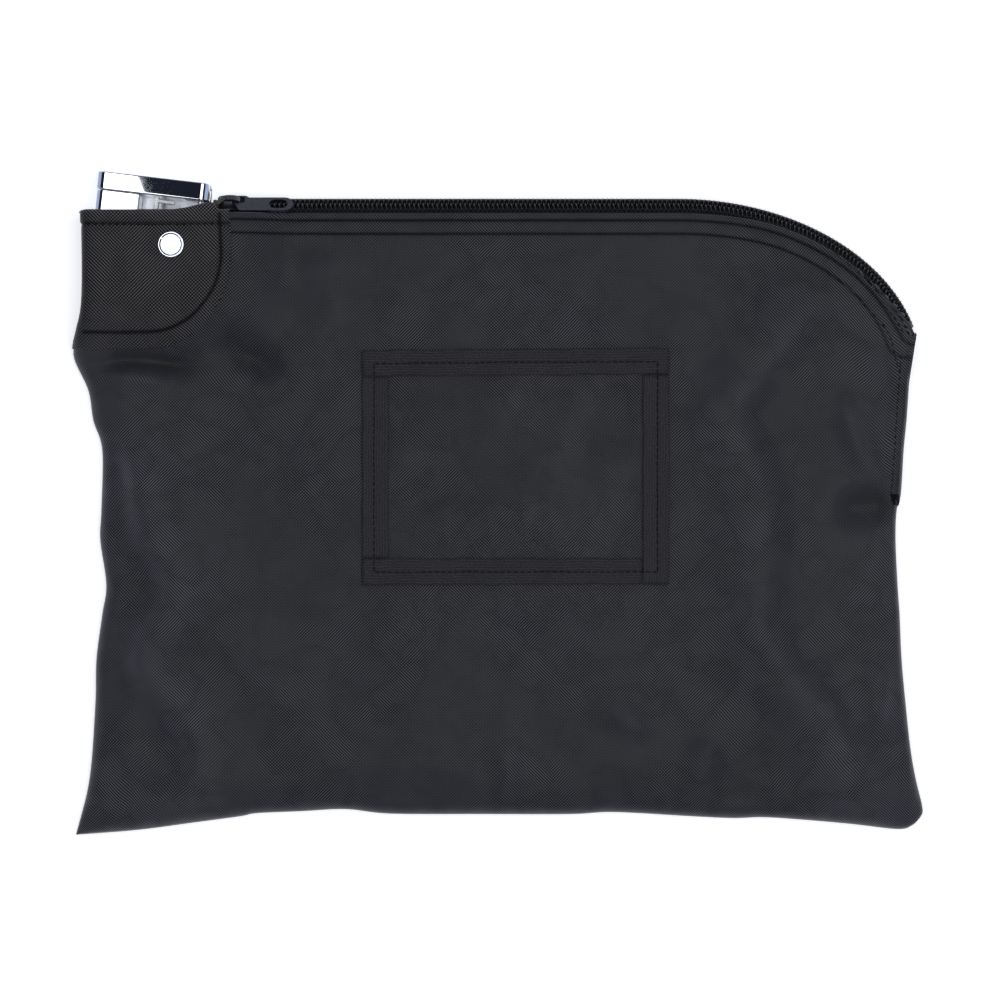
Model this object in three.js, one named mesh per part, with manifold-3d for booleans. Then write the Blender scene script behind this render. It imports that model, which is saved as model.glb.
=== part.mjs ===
// A locking cash deposit bag of the 15 x 11 in size, lying on its back.
// +X is to the right, +Y goes towards the zip and the lock, +Z comes out of the front. Lengths are in mm.
import * as THREE from 'three';
import { mergeVertices } from 'three/addons/utils/BufferGeometryUtils.js';
import Module from 'manifold-3d';

const wasm = await Module();
wasm.setup();

// ---------------------------------------------------------------- driving dimensions

const GAP = 0.3;                      // clearance between pieces that touch

const BAG = {
  topY: 134.8,                        // outer line of the zip along the straight top
  leftX: -187,
  width: 372,
  height: 275,
  fabric: 0.7,
  backFabric: 0.6,
  plateau: 11,                        // height of the filled front over the table
  lockPlateau: 19.1,                  // height of the front over the lock
  seamZ: 3.2,                         // height of the front's outer edge at the side and bottom seams
  seamLift: 1.6,                      // how far the back rises at the same seams
  ease: 6.5,                          // width of the rounding beside a seam
  lockEase: 2.6,                      // the same beside the lock
};

const ZIP = {
  startX: -125.4,
  cornerX: 80.8,                      // where the straight top turns into the corner curve
  tilt: THREE.MathUtils.degToRad(40),
  centreN: -3.2,                      // chain centre, measured from the outer line
  centreZ: 7.2,
  toothHalfThickness: 1.2,
  toothInner: 0.7,
  toothOuter: 3.6,
  frontEdge: -7,                      // where the front's fold runs beside the chain
  backEdge: -1,                       // where the back's edge runs behind the chain
  steps: 22,
  end: 0.98,                         // share of the corner curve that the chain covers
};

const SLIDER = { left: -125.2, right: -112.2, halfWidth: 4.5, plateNear: 1.5, plateFar: 2.7 };
const PULL = { pivotS: -118.3, pivotK: 3.8, end: -91.2, thickness: 1.5, halfWidth: 4, drop: 2.5 };

const PATCH = { rightX: -116, bottomY: 68, radius: 26, thickness: 0.6, lift: 0.9 };

const CARD = { left: -60.7, right: 75.4, bottom: -37.4, top: 68.5, tape: 11.7, thickness: 0.7 };

const LOCK = {
  x: -152.9,
  y: 144.2,
  turn: THREE.MathUtils.degToRad(-6.6),
  back: 3.5,                          // rear face of the cap, the housing and the stem
  front: 18,                          // front face of the cap and the housing
  plugU: -17,
  plugZ: 9.9,
  plugRadius: 4,
};

const CAP = { halfWidth: 26, depth: 8.2 };
const STEM = { left: -25.7, right: -5.1, top: -8.5, bottom: -27.5, front: 16.3 };
const HOUSING = { left: -27.2, right: 28, top: -20, bottom: -40 };
const PIN = { u: 21.3, z: 12.7, radius: 0.8 };
const RIVET = { u: 11.5, v: -29.2, shank: 2, hole: 2.3, head: 5.7, base: 20.3, top: 21.6 };
const PIN_ROWS = [-10.5, -13, -15.5, -18, -20.5];

// ---------------------------------------------------------------- materials

function material(color, roughness, metalness) {
  return new THREE.MeshStandardMaterial({ color, roughness, metalness });
}

const FABRIC = material(0x2e2e33, 0.75, 0);
const PATCH_FABRIC = material(0x29292c, 0.8, 0);
const BINDING = material(0x1d1d20, 0.85, 0);
const ZIP_TAPE = material(0x18181a, 0.9, 0);
const ZIP_TEETH = material(0x141416, 0.4, 0);
const BLACK_METAL = material(0x1b1b1e, 0.35, 0.8);
const CHROME = material(0xd8dadf, 0.12, 1);
const BRASS = material(0xb79a58, 0.3, 1);
const STEEL = material(0x9a9da3, 0.3, 1);
const FILM = material(0x2a2c31, 0.2, 0);

// ---------------------------------------------------------------- solids and booleans

function toSolid(geometry) {
  const bare = geometry.clone();
  bare.deleteAttribute('normal');
  bare.deleteAttribute('uv');
  const merged = mergeVertices(bare, 1e-4);
  const vertProperties = new Float32Array(merged.attributes.position.array);
  const triVerts = new Uint32Array(merged.index.array);
  return new wasm.Manifold(new wasm.Mesh({ numProp: 3, vertProperties, triVerts }));
}

function toGeometry(solid) {
  const mesh = solid.getMesh();
  const geometry = new THREE.BufferGeometry();
  geometry.setAttribute('position', new THREE.BufferAttribute(new Float32Array(mesh.vertProperties), 3));
  geometry.setIndex(new THREE.BufferAttribute(new Uint32Array(mesh.triVerts), 1));
  return geometry;
}

function join(...geometries) {
  return toGeometry(geometries.map(toSolid).reduce((whole, next) => whole.add(next)));
}

function cut(geometry, ...tools) {
  return toGeometry(tools.map(toSolid).reduce((whole, tool) => whole.subtract(tool), toSolid(geometry)));
}

function common(first, second) {
  return toGeometry(toSolid(first).intersect(toSolid(second)));
}

function box(x0, x1, y0, y1, z0, z1) {
  const geometry = new THREE.BoxGeometry(x1 - x0, y1 - y0, z1 - z0);
  return geometry.translate((x0 + x1) / 2, (y0 + y1) / 2, (z0 + z1) / 2);
}

function rodAlongX(radius, x0, x1, y, z, sides = 12) {
  const geometry = new THREE.CylinderGeometry(radius, radius, x1 - x0, sides);
  return geometry.rotateZ(Math.PI / 2).translate((x0 + x1) / 2, y, z);
}

function rodAlongY(radius, y0, y1, x, z, sides = 24) {
  const geometry = new THREE.CylinderGeometry(radius, radius, y1 - y0, sides);
  return geometry.translate(x, (y0 + y1) / 2, z);
}

function rodAlongZ(radius, z0, z1, x, y, sides = 24) {
  const geometry = new THREE.CylinderGeometry(radius, radius, z1 - z0, sides);
  return geometry.rotateX(Math.PI / 2).translate(x, y, (z0 + z1) / 2);
}

// A plate of the given outline between two heights.
function plate(shape, z0, z1, curveSegments = 8) {
  const geometry = new THREE.ExtrudeGeometry(shape, { depth: z1 - z0, bevelEnabled: false, curveSegments });
  return geometry.translate(0, 0, z0);
}

// A bar whose section lies in the XZ plane, between two places along Y.
function bar(shape, y0, y1, curveSegments = 5) {
  return plate(shape, 0, y1 - y0, curveSegments).rotateX(Math.PI / 2).translate(0, y1, 0);
}

function polygon(points) {
  return new THREE.Shape(points.map(([x, y]) => new THREE.Vector2(x, y)));
}

// A rectangle whose four corners have their own radii: low left, low right, high right, high left.
function roundedRectangle(x0, x1, y0, y1, [lowLeft, lowRight, highRight, highLeft]) {
  const shape = new THREE.Shape();
  shape.moveTo(x0 + lowLeft, y0);
  shape.lineTo(x1 - lowRight, y0);
  shape.absarc(x1 - lowRight, y0 + lowRight, lowRight, -Math.PI / 2, 0, false);
  shape.lineTo(x1, y1 - highRight);
  shape.absarc(x1 - highRight, y1 - highRight, highRight, 0, Math.PI / 2, false);
  shape.lineTo(x0 + highLeft, y1);
  shape.absarc(x0 + highLeft, y1 - highLeft, highLeft, Math.PI / 2, Math.PI, false);
  shape.lineTo(x0, y0 + lowLeft);
  shape.absarc(x0 + lowLeft, y0 + lowLeft, lowLeft, Math.PI, Math.PI * 1.5, false);
  return shape;
}

// A wire helix along X or Y, centred on the origin of the other two axes.
function coil(radius, wire, from, to, turns, along, sides = 6, stepsPerTurn = 9) {
  const steps = Math.round(turns * stepsPerTurn);
  const points = [];
  for (let i = 0; i <= steps; i += 1) {
    const angle = (i / steps) * turns * Math.PI * 2;
    const place = from + ((to - from) * i) / steps;
    const across = radius * Math.cos(angle);
    const up = radius * Math.sin(angle);
    points.push(along === 'x' ? new THREE.Vector3(place, across, up) : new THREE.Vector3(across, place, up));
  }
  const section = new THREE.Shape();
  section.absarc(0, 0, wire, 0, Math.PI * 2, false);
  const extrudePath = new THREE.CatmullRomCurve3(points);
  return new THREE.ExtrudeGeometry(section, { steps, extrudePath, curveSegments: sides / 2 });
}

// ---------------------------------------------------------------- the bag's outline

const cornerCurve = new THREE.CubicBezierCurve(
  new THREE.Vector2(ZIP.cornerX, BAG.topY),
  new THREE.Vector2(125.3, BAG.topY),
  new THREE.Vector2(172.3, 113.6),
  new THREE.Vector2(185.9, 75.6),
);

// A station on the zip's outer line: its point and its outward normal, by the length from the left edge.
function zipStation(length) {
  const straight = ZIP.cornerX - BAG.leftX;
  if (length <= straight) {
    return { point: new THREE.Vector2(BAG.leftX + length, BAG.topY), normal: new THREE.Vector2(0, 1) };
  }
  const share = Math.min(1, (length - straight) / cornerCurve.getLength());
  const tangent = cornerCurve.getTangentAt(share);
  return { point: cornerCurve.getPointAt(share), normal: new THREE.Vector2(-tangent.y, tangent.x) };
}

function topEdge(offsetAt) {
  const length = ZIP.cornerX - BAG.leftX + cornerCurve.getLength();
  return (share) => {
    const { point, normal } = zipStation(share * length);
    return point.clone().addScaledVector(normal, offsetAt(point.x));
  };
}

function splineEdge(points) {
  const curve = new THREE.SplineCurve(points.map(([x, y]) => new THREE.Vector2(x, y)));
  return (share) => curve.getPointAt(share);
}

const SIDE_TOP_Y = BAG.topY + ZIP.frontEdge;
const leftEdge = splineEdge([
  [-184, -147], [-181.8, -114.8], [-180, -70.3], [-176, -38], [-177.8, -25], [-177.3, 20.9],
  [-183.6, 49.8], [-190.7, 69.9], [-186.5, 90], [-187, SIDE_TOP_Y],
]);
const bottomEdge = splineEdge([
  [-184, -147], [-146.2, -145.1], [-108.4, -139.3], [-65.2, -137.5], [45, -139.3],
  [105.2, -141.5], [158.6, -144.2], [188.5, -141],
]);
const RIGHT_EDGE = [
  [188.5, -141], [185.3, -117], [180.9, -70.3], [177.8, -21.4], [178.7, -3.6],
  [180.9, 16.5], [184, 54.3], [184.3, 70],
];

// How far inside the zip's outer line the back's top edge runs: level with the pocket over the lock.
function backTopOffset(x) {
  return THREE.MathUtils.mapLinear(THREE.MathUtils.clamp(x, -130, -124), -130, -124, ZIP.frontEdge, ZIP.backEdge);
}

function outline(offsetAt) {
  const top = topEdge(offsetAt);
  const corner = top(1);
  return { left: leftEdge, bottom: bottomEdge, right: splineEdge([...RIGHT_EDGE, [corner.x, corner.y]]), top };
}

// ---------------------------------------------------------------- sheets of cloth

// A Coons patch between four edges, on grid lines given in mm from the left and the bottom edge.
function sheet(edges, columns, rows, height) {
  const corners = [edges.bottom(0), edges.bottom(1), edges.top(0), edges.top(1)];
  const points = [];
  for (const row of rows) {
    for (const column of columns) {
      const s = column / BAG.width;
      const t = row / BAG.height;
      const blend = (key) => (1 - t) * edges.bottom(s)[key] + t * edges.top(s)[key]
        + (1 - s) * edges.left(t)[key] + s * edges.right(t)[key]
        - (1 - s) * (1 - t) * corners[0][key] - s * (1 - t) * corners[1][key]
        - (1 - s) * t * corners[2][key] - s * t * corners[3][key];
      const x = blend('x');
      const y = blend('y');
      points.push(new THREE.Vector3(x, y, height(x, y, column, row)));
    }
  }
  const at = (i, j) => points[j * columns.length + i];
  const last = { i: columns.length - 1, j: rows.length - 1 };
  const normals = points.map((_, n) => {
    const i = n % columns.length;
    const j = Math.floor(n / columns.length);
    const across = at(Math.min(i + 1, last.i), j).clone().sub(at(Math.max(i - 1, 0), j));
    const along = at(i, Math.min(j + 1, last.j)).clone().sub(at(i, Math.max(j - 1, 0)));
    return across.cross(along).normalize();
  });
  return { columns: columns.length, rows: rows.length, points, normals };
}

// The closed body between two offsets of a sheet along its normals.
function shell(surface, lower, upper) {
  const { columns, rows, points, normals } = surface;
  const position = [];
  for (const offset of [upper, lower]) {
    points.forEach((point, n) => position.push(...point.clone().addScaledVector(normals[n], offset).toArray()));
  }
  const index = [];
  const at = (layer, i, j) => layer * columns * rows + j * columns + i;
  const quad = (a, b, c, d) => index.push(a, b, c, a, c, d);
  const lastI = columns - 1;
  const lastJ = rows - 1;
  for (let j = 0; j < lastJ; j += 1) {
    for (let i = 0; i < lastI; i += 1) {
      quad(at(0, i, j), at(0, i + 1, j), at(0, i + 1, j + 1), at(0, i, j + 1));
      quad(at(1, i, j), at(1, i, j + 1), at(1, i + 1, j + 1), at(1, i + 1, j));
    }
    quad(at(0, 0, j), at(0, 0, j + 1), at(1, 0, j + 1), at(1, 0, j));
    quad(at(1, lastI, j), at(1, lastI, j + 1), at(0, lastI, j + 1), at(0, lastI, j));
  }
  for (let i = 0; i < lastI; i += 1) {
    quad(at(1, i, 0), at(1, i + 1, 0), at(0, i + 1, 0), at(0, i, 0));
    quad(at(0, i, lastJ), at(0, i + 1, lastJ), at(1, i + 1, lastJ), at(1, i, lastJ));
  }
  const geometry = new THREE.BufferGeometry();
  geometry.setAttribute('position', new THREE.Float32BufferAttribute(position, 3));
  geometry.setIndex(index);
  return geometry;
}

// 0 at a seam, 1 past the rounding, with a quarter round between.
function rounding(distance, width) {
  const rest = 1 - Math.min(1, distance / width);
  return Math.sqrt(1 - rest * rest);
}

function frontHeight(x, y, column, row) {
  const { smoothstep, lerp } = THREE.MathUtils;
  const overLock = (1 - smoothstep(x, -120, -88)) * smoothstep(y, 60, 88);
  const plateau = lerp(BAG.plateau, BAG.lockPlateau, overLock);
  const beside = rounding(column, lerp(BAG.ease, BAG.lockEase, smoothstep(y, 60, 88)));
  const nearZipEnd = smoothstep(row / BAG.height, 0.88, 0.95);
  const rightSide = lerp(rounding(BAG.width - column, BAG.ease), 1, nearZipEnd);
  return BAG.seamZ + (plateau - BAG.seamZ) * beside * rightSide * rounding(row, BAG.ease);
}

function backHeight(x, y, column, row) {
  const { smoothstep, lerp } = THREE.MathUtils;
  const overPatch = (1 - smoothstep(x, -114, -106)) * smoothstep(y, 58, 65);
  const nearTop = smoothstep(row / BAG.height, 0.75, 0.9);
  const edge = Math.min(column, BAG.width - column, row);
  const seam = BAG.seamLift * (1 - smoothstep(edge, 0, 3)) * (1 - nearTop);
  return lerp(seam, PATCH.lift, overPatch);
}

const frontSurface = sheet(
  outline(() => ZIP.frontEdge),
  [0, 1.2, 3, 6.5, 20, 44, 62, 68, 76, 84, 93, 102, 180, 236, 256, 272, 286, 298, 310, 322, 334, 346, 356, 365.5, 369, 372],
  [0, 2, 6.5, 30, 100, 170, 196, 208, 216, 224, 236, 243, 255, 266, 275],
  frontHeight,
);
const backSurface = sheet(
  outline(backTopOffset),
  [0, 1.5, 3, 40, 58, 64, 74, 84, 180, 270, 340, 362, 369, 370.5, 372],
  [0, 1.5, 3, 40, 120, 190, 203, 213, 230, 248, 262, 275],
  backHeight,
);

// ---------------------------------------------------------------- the zip

function zipPoint(w, k) {
  return new THREE.Vector2(
    ZIP.centreN + w * Math.cos(ZIP.tilt) + k * Math.sin(ZIP.tilt),
    ZIP.centreZ - w * Math.sin(ZIP.tilt) + k * Math.cos(ZIP.tilt),
  );
}

// Stations along the zip between a place on the straight top and a share of the corner curve.
function zipStations(fromX, toShare) {
  const straight = ZIP.cornerX - BAG.leftX;
  const stations = [zipStation(fromX - BAG.leftX)];
  for (let i = 0; i <= ZIP.steps; i += 1) {
    stations.push(zipStation(straight + (cornerCurve.getLength() * toShare * i) / ZIP.steps));
  }
  return stations;
}

// The closed body of a section, in (outward, up) coordinates, carried along stations.
function sweep(section, stations) {
  const ring = THREE.ShapeUtils.area(section) < 0 ? [...section].reverse() : section;
  const count = ring.length;
  const position = [];
  for (const { point, normal } of stations) {
    ring.forEach((v) => position.push(point.x + normal.x * v.x, point.y + normal.y * v.x, v.y));
  }
  const index = [];
  for (let j = 0; j + 1 < stations.length; j += 1) {
    for (let i = 0; i < count; i += 1) {
      const next = (i + 1) % count;
      const [a, b, c, d] = [j * count + i, j * count + next, (j + 1) * count + next, (j + 1) * count + i];
      index.push(a, b, c, a, c, d);
    }
  }
  const end = (stations.length - 1) * count;
  for (const [a, b, c] of THREE.ShapeUtils.triangulateShape(ring, [])) {
    index.push(a, c, b, end + a, end + b, end + c);
  }
  const geometry = new THREE.BufferGeometry();
  geometry.setAttribute('position', new THREE.Float32BufferAttribute(position, 3));
  geometry.setIndex(index);
  return geometry;
}

function chainSection(inner, outer, halfThickness) {
  return [[inner, -1], [outer, -1], [outer, 1], [inner, 1]].map(([w, side]) => zipPoint(w, side * halfThickness));
}

function teeth(side) {
  const section = chainSection(side * ZIP.toothInner, side * ZIP.toothOuter, ZIP.toothHalfThickness);
  return sweep(section, zipStations(ZIP.startX, ZIP.end - 0.03));
}

function frontTape() {
  const section = [
    zipPoint(-3.9, 0.25), new THREE.Vector2(-7.3, 9.95), new THREE.Vector2(-17, 9.9),
    new THREE.Vector2(-17, 9.4), new THREE.Vector2(-7.3, 9.45), zipPoint(-3.9, -0.25),
  ];
  return sweep(section, zipStations(ZIP.startX, ZIP.end));
}

function backTape() {
  const section = [
    zipPoint(3.9, 0.25), ...[
      [0.75, 3.9], [0.55, 2.5], [-0.9, 1.85], [-17, 1.85], [-17, 2.3], [-1.1, 2.3], [0.1, 2.75], [0.25, 3.8],
    ].map(([n, z]) => new THREE.Vector2(n, z)), zipPoint(3.9, -0.25),
  ];
  return sweep(section, zipStations(ZIP.startX, ZIP.end));
}

function topStop() {
  const section = chainSection(-3.6, 3.6, 1.4);
  return sweep(section, [ZIP.startX - 2, ZIP.startX - GAP].map((x) => zipStation(x - BAG.leftX)));
}

function bottomStop() {
  const straight = ZIP.cornerX - BAG.leftX;
  const shares = [ZIP.end - 0.026, ZIP.end - 0.013, ZIP.end];
  const stations = shares.map((share) => zipStation(straight + cornerCurve.getLength() * share));
  return sweep(chainSection(-2.9, 3.6, 1.4), stations);
}

// ---------------------------------------------------------------- frames of reference

const bag = new THREE.Group();

const zipGroup = new THREE.Group();
zipGroup.position.set(0, BAG.topY + ZIP.centreN, ZIP.centreZ);
zipGroup.rotation.x = -ZIP.tilt;
zipGroup.updateMatrix();

const lockGroup = new THREE.Group();
lockGroup.position.set(LOCK.x, LOCK.y, 0);
lockGroup.rotation.z = LOCK.turn;
lockGroup.updateMatrix();

bag.add(zipGroup, lockGroup);

function add(parent, name, geometry, finish) {
  const mesh = new THREE.Mesh(geometry, finish);
  mesh.name = name;
  parent.add(mesh);
  return mesh;
}

const rivetPlace = new THREE.Vector3(RIVET.u, RIVET.v, 0).applyMatrix4(lockGroup.matrix);

function rivetHole(radius = RIVET.hole) {
  return rodAlongZ(radius, -5, 30, rivetPlace.x, rivetPlace.y);
}

// ---------------------------------------------------------------- cloth parts

// The corner patch: two straight sides and one rounded corner.
function patchOutline(left, top) {
  return roundedRectangle(left, PATCH.rightX, PATCH.bottomY, top, [0, PATCH.radius, 0, 0]);
}

function buildPanels() {
  add(bag, 'front_panel', cut(shell(frontSurface, -BAG.fabric, 0), rivetHole()), FABRIC);
  add(bag, 'back_panel', cut(shell(backSurface, 0, BAG.backFabric), rivetHole()), FABRIC);
  const frontPatch = common(shell(frontSurface, GAP, GAP + PATCH.thickness), plate(patchOutline(-210, 150), -5, 40));
  add(bag, 'front_corner_patch', cut(frontPatch, rivetHole()), PATCH_FABRIC);
  const backPatch = plate(patchOutline(-185.5, SIDE_TOP_Y - 0.5), 0, PATCH.thickness);
  add(bag, 'back_corner_patch', cut(backPatch, rivetHole(RIVET.head + GAP)), PATCH_FABRIC);
}

function buildCardHolder() {
  const filmBottom = BAG.plateau + GAP;
  const film = box(CARD.left + 1, CARD.right - 1, CARD.bottom + 1, CARD.top - 1, filmBottom, filmBottom + 0.2);
  add(bag, 'card_window_film', film, FILM);
  const low = filmBottom + 0.2 + GAP;
  const high = low + CARD.thickness;
  const inner = {
    left: CARD.left + CARD.tape, right: CARD.right - CARD.tape,
    bottom: CARD.bottom + CARD.tape, top: CARD.top - CARD.tape,
  };
  const strips = {
    card_frame_top: [CARD.left, CARD.right, inner.top, CARD.top],
    card_frame_bottom: [CARD.left, CARD.right, CARD.bottom, inner.bottom],
    card_frame_left: [CARD.left, inner.left, inner.bottom + GAP, inner.top - GAP],
    card_frame_right: [inner.right, CARD.right, inner.bottom + GAP, inner.top - GAP],
  };
  for (const [name, [x0, x1, y0, y1]] of Object.entries(strips)) {
    add(bag, name, box(x0, x1, y0, y1, low, high), BINDING);
  }
}

function buildZip() {
  add(bag, 'zipper_tape_front', frontTape(), ZIP_TAPE);
  add(bag, 'zipper_tape_back', backTape(), ZIP_TAPE);
  add(bag, 'zipper_teeth_front', teeth(-1), ZIP_TEETH);
  add(bag, 'zipper_teeth_back', teeth(1), ZIP_TEETH);
  add(bag, 'zipper_top_stop', topStop(), BLACK_METAL);
  add(bag, 'zipper_bottom_stop', bottomStop(), BLACK_METAL);
}

// ---------------------------------------------------------------- the slider and its pull

function sliderBridge() {
  const arch = new THREE.Shape();
  arch.moveTo(-124.6, 2.6);
  arch.lineTo(-114.4, 2.6);
  arch.bezierCurveTo(-114.4, 5.2, -116.2, 6.2, -119.5, 6.2);
  arch.bezierCurveTo(-122.8, 6.2, -124.6, 5.2, -124.6, 2.6);
  const eye = bar(roundedRectangle(-122.4, -116.5, 2.5, 4.9, [0, 0, 0.9, 0.9]), -2, 2, 3);
  return cut(bar(arch, -1.4, 1.4, 6), eye);
}

// The flat tongue that reaches from the slider into the lock, with the eye that the locking pin enters.
function lockingTongue() {
  const ribbon = polygon([
    [-121.3, 134.3], [-123.6, 132.7], [-126.3, 130], [-129.6, 129.1], [-136, 128.95],
    [-136, 130.75], [-129.8, 130.9], [-127.2, 131.7], [-124.6, 134.3], [-121.3, 136],
  ]);
  const eye = rodAlongY(1.25, -22, -4, PIN.u, PIN.z, 16).applyMatrix4(lockGroup.matrix);
  return cut(plate(ribbon, 11, 14.4), eye);
}

function buildSlider() {
  const { left, right, halfWidth, plateNear, plateFar } = SLIDER;
  const corners = [2, 2, 2, 2];
  const lip = [halfWidth - 3.9, 0.8];
  const parts = [
    plate(roundedRectangle(left, right, -halfWidth, halfWidth, corners), plateNear, plateFar, 3),
    box(left + 2, right - 2, halfWidth - lip[0], halfWidth, lip[1], plateNear + 0.5),
    box(left + 2, right - 2, -halfWidth, lip[0] - halfWidth, lip[1], plateNear + 0.5),
    plate(roundedRectangle(left, right, -3.4, 3.4, corners), -plateFar, -plateNear, 3),
    box(left + 0.4, left + 3.7, -0.4, 0.4, -plateNear - 0.5, plateNear + 0.5),
    sliderBridge(),
  ].map((part) => part.applyMatrix4(zipGroup.matrix));
  add(bag, 'slider_body', join(...parts, lockingTongue()), BLACK_METAL);
}

function buildPull() {
  const { pivotS, pivotK, end, thickness, halfWidth, drop } = PULL;
  const low = -drop - halfWidth;
  const high = halfWidth - drop;
  const body = new THREE.Shape();
  body.moveTo(pivotS, -2.8);
  body.lineTo(-117.2, -2.8);
  body.lineTo(-115.2, low);
  body.lineTo(end - halfWidth, low);
  body.absarc(end - halfWidth, -drop, halfWidth, -Math.PI / 2, Math.PI / 2, false);
  body.lineTo(-111, high);
  body.lineTo(-112.5, 2.6);
  body.lineTo(pivotS, 2.6);
  const window = box(pivotS - 1, -113, -1.8, 1.8, 0, 8);
  const hole = plate(roundedRectangle(-102, -93.8, -drop - 2.7, 2.7 - drop, [2.7, 2.7, 2.7, 2.7]), 0, 8, 6);
  const tab = cut(plate(body, pivotK - thickness / 2, pivotK + thickness / 2, 8), window, hole);
  add(zipGroup, 'pull_tab', join(tab, rodAlongY(thickness / 2, -2.8, 2.6, pivotS, pivotK, 12)), BLACK_METAL);
}

// ---------------------------------------------------------------- the lock

function buildCap() {
  const { halfWidth, depth } = CAP;
  const section = roundedRectangle(-halfWidth, halfWidth, LOCK.back, LOCK.front, [1.5, 1.5, 5, 5]);
  const plugHole = rodAlongY(LOCK.plugRadius + GAP, -depth - 1, 1, LOCK.plugU, LOCK.plugZ);
  const tongueSlot = box(15, halfWidth + 1, -depth - 1, -2.4, 10.6, 14.8);
  const pinHole = rodAlongY(PIN.radius + GAP, -depth, -1.2, PIN.u, PIN.z, 16);
  add(lockGroup, 'push_cap', cut(bar(section, -depth, 0), plugHole, tongueSlot, pinHole), CHROME);
}

function buildStem() {
  const { left, right, top, bottom, front } = STEM;
  const section = roundedRectangle(left, right, LOCK.back, front, [1, 1, 1, 4.5]);
  const barrel = rodAlongY(5.8, -23.5, top + 1, LOCK.plugU, LOCK.plugZ);
  const pinRoom = box(LOCK.plugU, -6.1, -23.5, top + 1, LOCK.plugZ - 1.9, LOCK.plugZ + 1.9);
  const camRoom = rodAlongY(3.8, bottom + 1.2, -23, LOCK.plugU, LOCK.plugZ, 16);
  const boltSlot = box(-14, right + 1, bottom + 1.2, -23.3, 7.8, 12);
  add(lockGroup, 'plunger_stem', cut(bar(section, bottom, top), barrel, pinRoom, camRoom, boltSlot), CHROME);
}

function buildCylinder() {
  const { plugU, plugZ, plugRadius } = LOCK;
  const pinHoles = PIN_ROWS.map((v) => rodAlongX(1, -16, -6.9, v, plugZ, 10));
  const barrel = rodAlongY(5.5, -23.2, -8.8, plugU, plugZ);
  const tower = box(plugU, -6.4, -23.2, -8.8, plugZ - 1.5, plugZ + 1.5);
  const bore = rodAlongY(plugRadius + 0.25, -24, -8, plugU, plugZ);
  add(lockGroup, 'cylinder_shell', cut(join(barrel, tower), bore, ...pinHoles), BRASS);

  const keyway = box(plugU - 2.6, plugU + 2.6, -21, 1, plugZ - 0.7, plugZ + 0.7);
  const plug = rodAlongY(plugRadius, -23, -0.3, plugU, plugZ);
  add(lockGroup, 'key_plug', cut(plug, keyway, ...pinHoles), BRASS);

  const halfDisc = new THREE.Shape();
  halfDisc.absarc(plugU, plugZ, 3.4, Math.PI / 2, Math.PI * 1.5, false);
  add(lockGroup, 'plug_cam', bar(halfDisc, -25.5, -23.3, 10), STEEL);

  PIN_ROWS.forEach((v, n) => {
    add(lockGroup, `key_pin_${n + 1}`, rodAlongX(0.75, -15.4, -13.1, v, plugZ, 10), BRASS);
    add(lockGroup, `driver_pin_${n + 1}`, rodAlongX(0.75, -12.6, -10.4, v, plugZ, 10), BRASS);
    const spring = coil(0.6, 0.13, -10, -7.2, 3, 'x', 4, 7).translate(0, v, plugZ);
    add(lockGroup, `pin_spring_${n + 1}`, spring, STEEL);
  });
}

function buildLatch() {
  add(lockGroup, 'latch_bolt', box(-13, -5.3, -26, -23.6, 8.1, 11.7), STEEL);
  const bracket = join(box(1.6, 3.4, -22, -8.5, 12.2, 15.9), box(3.3, 10.5, -11.2, -9.6, 12.2, 15.9));
  add(lockGroup, 'latch_bracket', bracket, STEEL);
  add(lockGroup, 'locking_pin', rodAlongY(PIN.radius, -10.4, -1.5, PIN.u, PIN.z, 16), STEEL);
  const spring = coil(3.5, 0.5, -37.7, -28.3, 4.5, 'y', 6, 10).translate(-15.4, 0, LOCK.plugZ);
  add(lockGroup, 'plunger_spring', spring, STEEL);
}

function buildHousing() {
  const { left, right, top, bottom } = HOUSING;
  const section = roundedRectangle(left, right, LOCK.back, LOCK.front, [1, 1, 2, 6]);
  const stemBore = bar(roundedRectangle(-26, -4.8, LOCK.back - 1, 16.6, [0, 0, 1, 4.8]), -38.5, top + 1);
  const boltRamp = plate(polygon([[-5, -22.5], [-4.3, -23], [-2.4, -30.6], [-2.4, -34], [-5, -34]]), 7.6, 12.2);
  const legSlot = box(1.2, 3.8, -29.6, top + 1, 11.8, 16.3);
  const shankHole = rodAlongZ(RIVET.hole, 0, 30, RIVET.u, RIVET.v);
  const tools = [stemBore, boltRamp, legSlot, shankHole];
  add(lockGroup, 'lock_housing', cut(bar(section, bottom, top), ...tools), CHROME);

  const backing = new THREE.Shape();
  backing.moveTo(-27, bottom);
  backing.lineTo(27.5, bottom);
  backing.lineTo(27.5, -9);
  backing.lineTo(24.5, -6);
  backing.lineTo(-24, -6);
  backing.quadraticCurveTo(-25, -12, -28.5, -19);
  add(lockGroup, 'lock_back_plate', cut(plate(backing, 1.8, LOCK.back - GAP), shankHole), CHROME);
}

// The rivet that goes through both faces of the bag and the lock's housing.
function buildRivet() {
  const { head, base, top, shank } = RIVET;
  const profile = new THREE.Shape();
  profile.moveTo(0, PATCH.lift);
  profile.lineTo(shank, PATCH.lift);
  profile.lineTo(shank, base);
  profile.lineTo(head, base);
  profile.lineTo(head, base + 0.3);
  profile.quadraticCurveTo(head - 0.3, top - 0.1, head - 1.4, top);
  profile.lineTo(0, top);
  const cap = new THREE.LatheGeometry(profile.getPoints(4), 32).rotateX(Math.PI / 2);
  add(bag, 'rivet_front_cap', cap.translate(rivetPlace.x, rivetPlace.y, 0), CHROME);
  const washer = rodAlongZ(head, 0, PATCH.lift - GAP, rivetPlace.x, rivetPlace.y, 32);
  add(bag, 'rivet_back_cap', washer, CHROME);
}

// ---------------------------------------------------------------- assembly

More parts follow.
